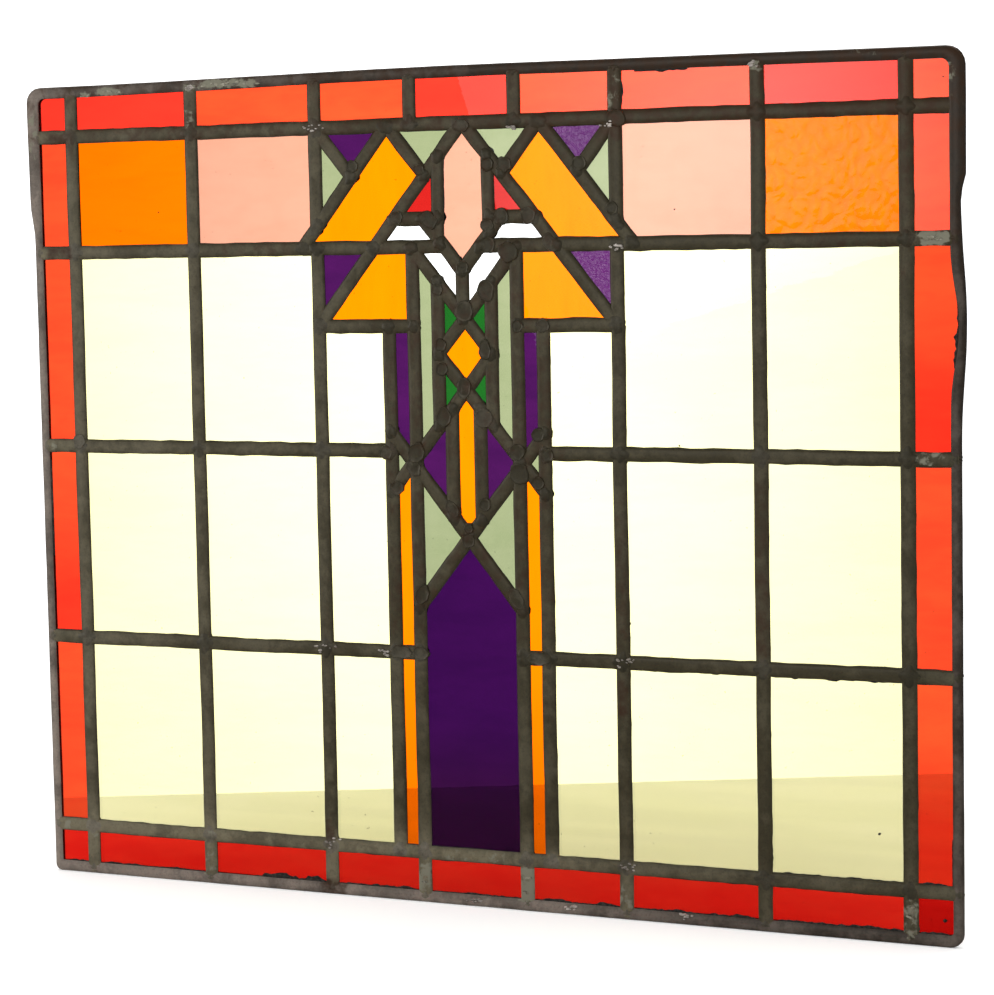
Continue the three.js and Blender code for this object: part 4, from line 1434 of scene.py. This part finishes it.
for number, (x, z, size) in enumerate(PUTTY_SPOTS):
    way = [math.radians(180 * noise.noise((number * 1.9, 3.5, 1.5)))]
    sizes = (size, size * 1.7, size * 0.9, ON_GLASS, ON_GLASS + 0.5 * size)
    add_mound(putty, x, z, way, *sizes, LOW_MOUND, number * 1.73)
finish_piece(putty, "putty_blots", cement_look, sharp=50)

# %% [markdown]
# ## Flakes of old paint
# The thickest scraps of paint stand up from the lead as chips. Each is a flat mound a few tenths of
# a millimetre high, sitting on the face of a came.

# %% Paint chips
CHIP_PLACES = (
    (-256.0, 484.0, 1.2), (-251.6, 484.4, 1.4), (-240.4, 486.2, 1.3), (-236.2, 486.0, 1.8),
    (-230.4, 485.4, 1.3), (-170.0, 487.2, 1.6), (-162.6, 487.8, 2.0), (-155.2, 487.4, 2.3),
    (-147.6, 487.8, 2.2), (-140.2, 487.6, 2.0), (-133.4, 487.0, 1.2), (-181.0, 485.0, 1.7),
    (34.4, 19.6, 1.5), (32.2, 11.0, 1.6), (-33.8, 12.0, 1.4), (264.8, 15.2, 1.4), (266.4, 21.0, 1.2),
    (279.6, 389.2, 1.7), (284.2, 387.9, 1.3), (180.2, 485.2, 1.4),
)
CHIP_FOOT_AND_TOP = (2.45, 2.98)
FLAT_CHIP = ((1.0, 0.0), (1.0, 0.75), (0.90, 0.96), (0.5, 1.0))
chips = bmesh.new()
for number, (x, z, size) in enumerate(CHIP_PLACES):
    way = both_ways(math.radians(50 * noise.noise((number * 2.9, 0.5, 4.5))))
    sizes = (size * 0.4, size * 1.5, size * 0.45, *CHIP_FOOT_AND_TOP)
    add_mound(chips, x, z, way, *sizes, FLAT_CHIP, number * 3.3)
finish_piece(chips, "paint_chips", paint_look, sharp=45)

# %% [markdown]
# ## The small panes
# The twenty-nine smallest panes fill the ornament. A glazier cuts such a piece from a sheet with one
# straight score for each side, and so does this: it starts as a square sheet, and every bounding
# came's line cuts away what lies beyond it, set back from the came's heart. The face that is left is
# extruded to the thickness of the glass, and its sharp arris is taken off.

# %% Cut one small pane
SET_BACK = HALF_HEART + 0.6
ARRIS = 0.12
SHEET_HALF = 150


def small_pane(name, glass, inside, lines):
    bm = bmesh.new()
    bmesh.ops.create_grid(bm, x_segments=1, y_segments=1, size=SHEET_HALF)
    upright_sheet = Matrix.Rotation(math.radians(90), 4, "X")
    middle = Vector((inside[0], 0, inside[1]))
    bmesh.ops.transform(bm, matrix=Matrix.Translation(middle) @ upright_sheet, verts=bm.verts)
    for start, end in lines:
        normal = Vector((-(end[1] - start[1]), 0, end[0] - start[0])).normalized()
        foot = Vector((start[0], 0, start[1]))
        if normal.dot(middle - foot) > 0:
            normal = -normal
        everything = bm.verts[:] + bm.edges[:] + bm.faces[:]
        cut = foot - normal * SET_BACK
        bmesh.ops.bisect_plane(bm, geom=everything, plane_co=cut, plane_no=normal, clear_outer=True)
    bmesh.ops.translate(bm, vec=(0, -GLASS_THICKNESS / 2, 0), verts=bm.verts)
    grown = bmesh.ops.extrude_face_region(bm, geom=bm.faces[:])["geom"]
    bmesh.ops.translate(bm, vec=(0, GLASS_THICKNESS, 0), verts=points_of(grown))
    bmesh.ops.bevel(bm, geom=bm.edges[:], offset=ARRIS, affect="EDGES", segments=1, profile=0.5, material=-1)
    finish_piece(bm, name, glasses[glass], sharp=20)


print("panes end", SET_BACK, "mm from the came's middle line")

# %% [markdown]
# Each small pane is listed with its glass, a point inside it, and the lines that bound it. A line
# whose name starts with "far" belongs to the other half. On the right the purple glass is the
# textured one.

# %% Cut them all
SMALL_PANES = (
    ("purple_top", "textured", (72, 451), "head_row outer_valley outer_roof"),
    ("green_side", "green", (88, 431), "column outer_valley outer_roof"),
    ("green_top", "green", (25, 449), "head_row inner_valley roof"),
    ("ruby_triangle", "ruby", (25, 413), "roof hexagon_side collar_row"),
    ("white_step", "white", (35, 397), "collar_row roof high_row foot"),
    ("purple_low", "textured", (84, 377), "column high_row roof"),
    ("white_wedge", "white", (14, 377), "high_row upper_cross foot centre_upright"),
    ("green_strip", "green", (25.5, 330), "strip_inner side_upright upper_cross lower_cross"),
    ("emerald_upper", "dark_green", (13.5, 346), "side_upright upper_cross far_upper_cross"),
    ("emerald_lower", "dark_green", (13.5, 306), "side_upright lower_cross far_lower_cross"),
    ("purple_strip", "purple", (41.5, 310), "strip_outer strip_inner shoulder long_cross lower_cross"),
    ("purple_spear", "purple", (18, 262), "lower_cross spear_side long_cross"),
    ("green_chip", "green", (43, 262.5), "strip_outer lower_cross long_cross"),
    ("green_wing", "green", (22, 220), "strip_inner long_cross far_long_cross"),
)
crosses = [half[name] for name in ("upper_cross", "lower_cross") for half in (left, right)]
small_pane("orange_diamond", "orange_glass", (-1, 326), crosses)
rows = {"head_row": level(HEAD, -1, 1), "high_row": level(HIGH, -1, 1), "collar_row": level(COLLAR, -1, 1)}
for side, s, own, other in (("left", -1, left, right), ("right", 1, right, left)):
    lines = own | rows | {f"far_{name}": line for name, line in other.items()}
    lines |= {"column": upright(s * COLUMNS[0], 0, 1), "centre_upright": centre_upright}
    textured = "rolled_purple" if side == "right" else "purple"
    for name, colour, (x, z), bounds in SMALL_PANES:
        glass = colour.replace("textured", textured) + "_glass"
        bounding = [lines[bound] for bound in bounds.split()]
        small_pane(f"{name}_{side}", glass, (s * x, z), bounding)
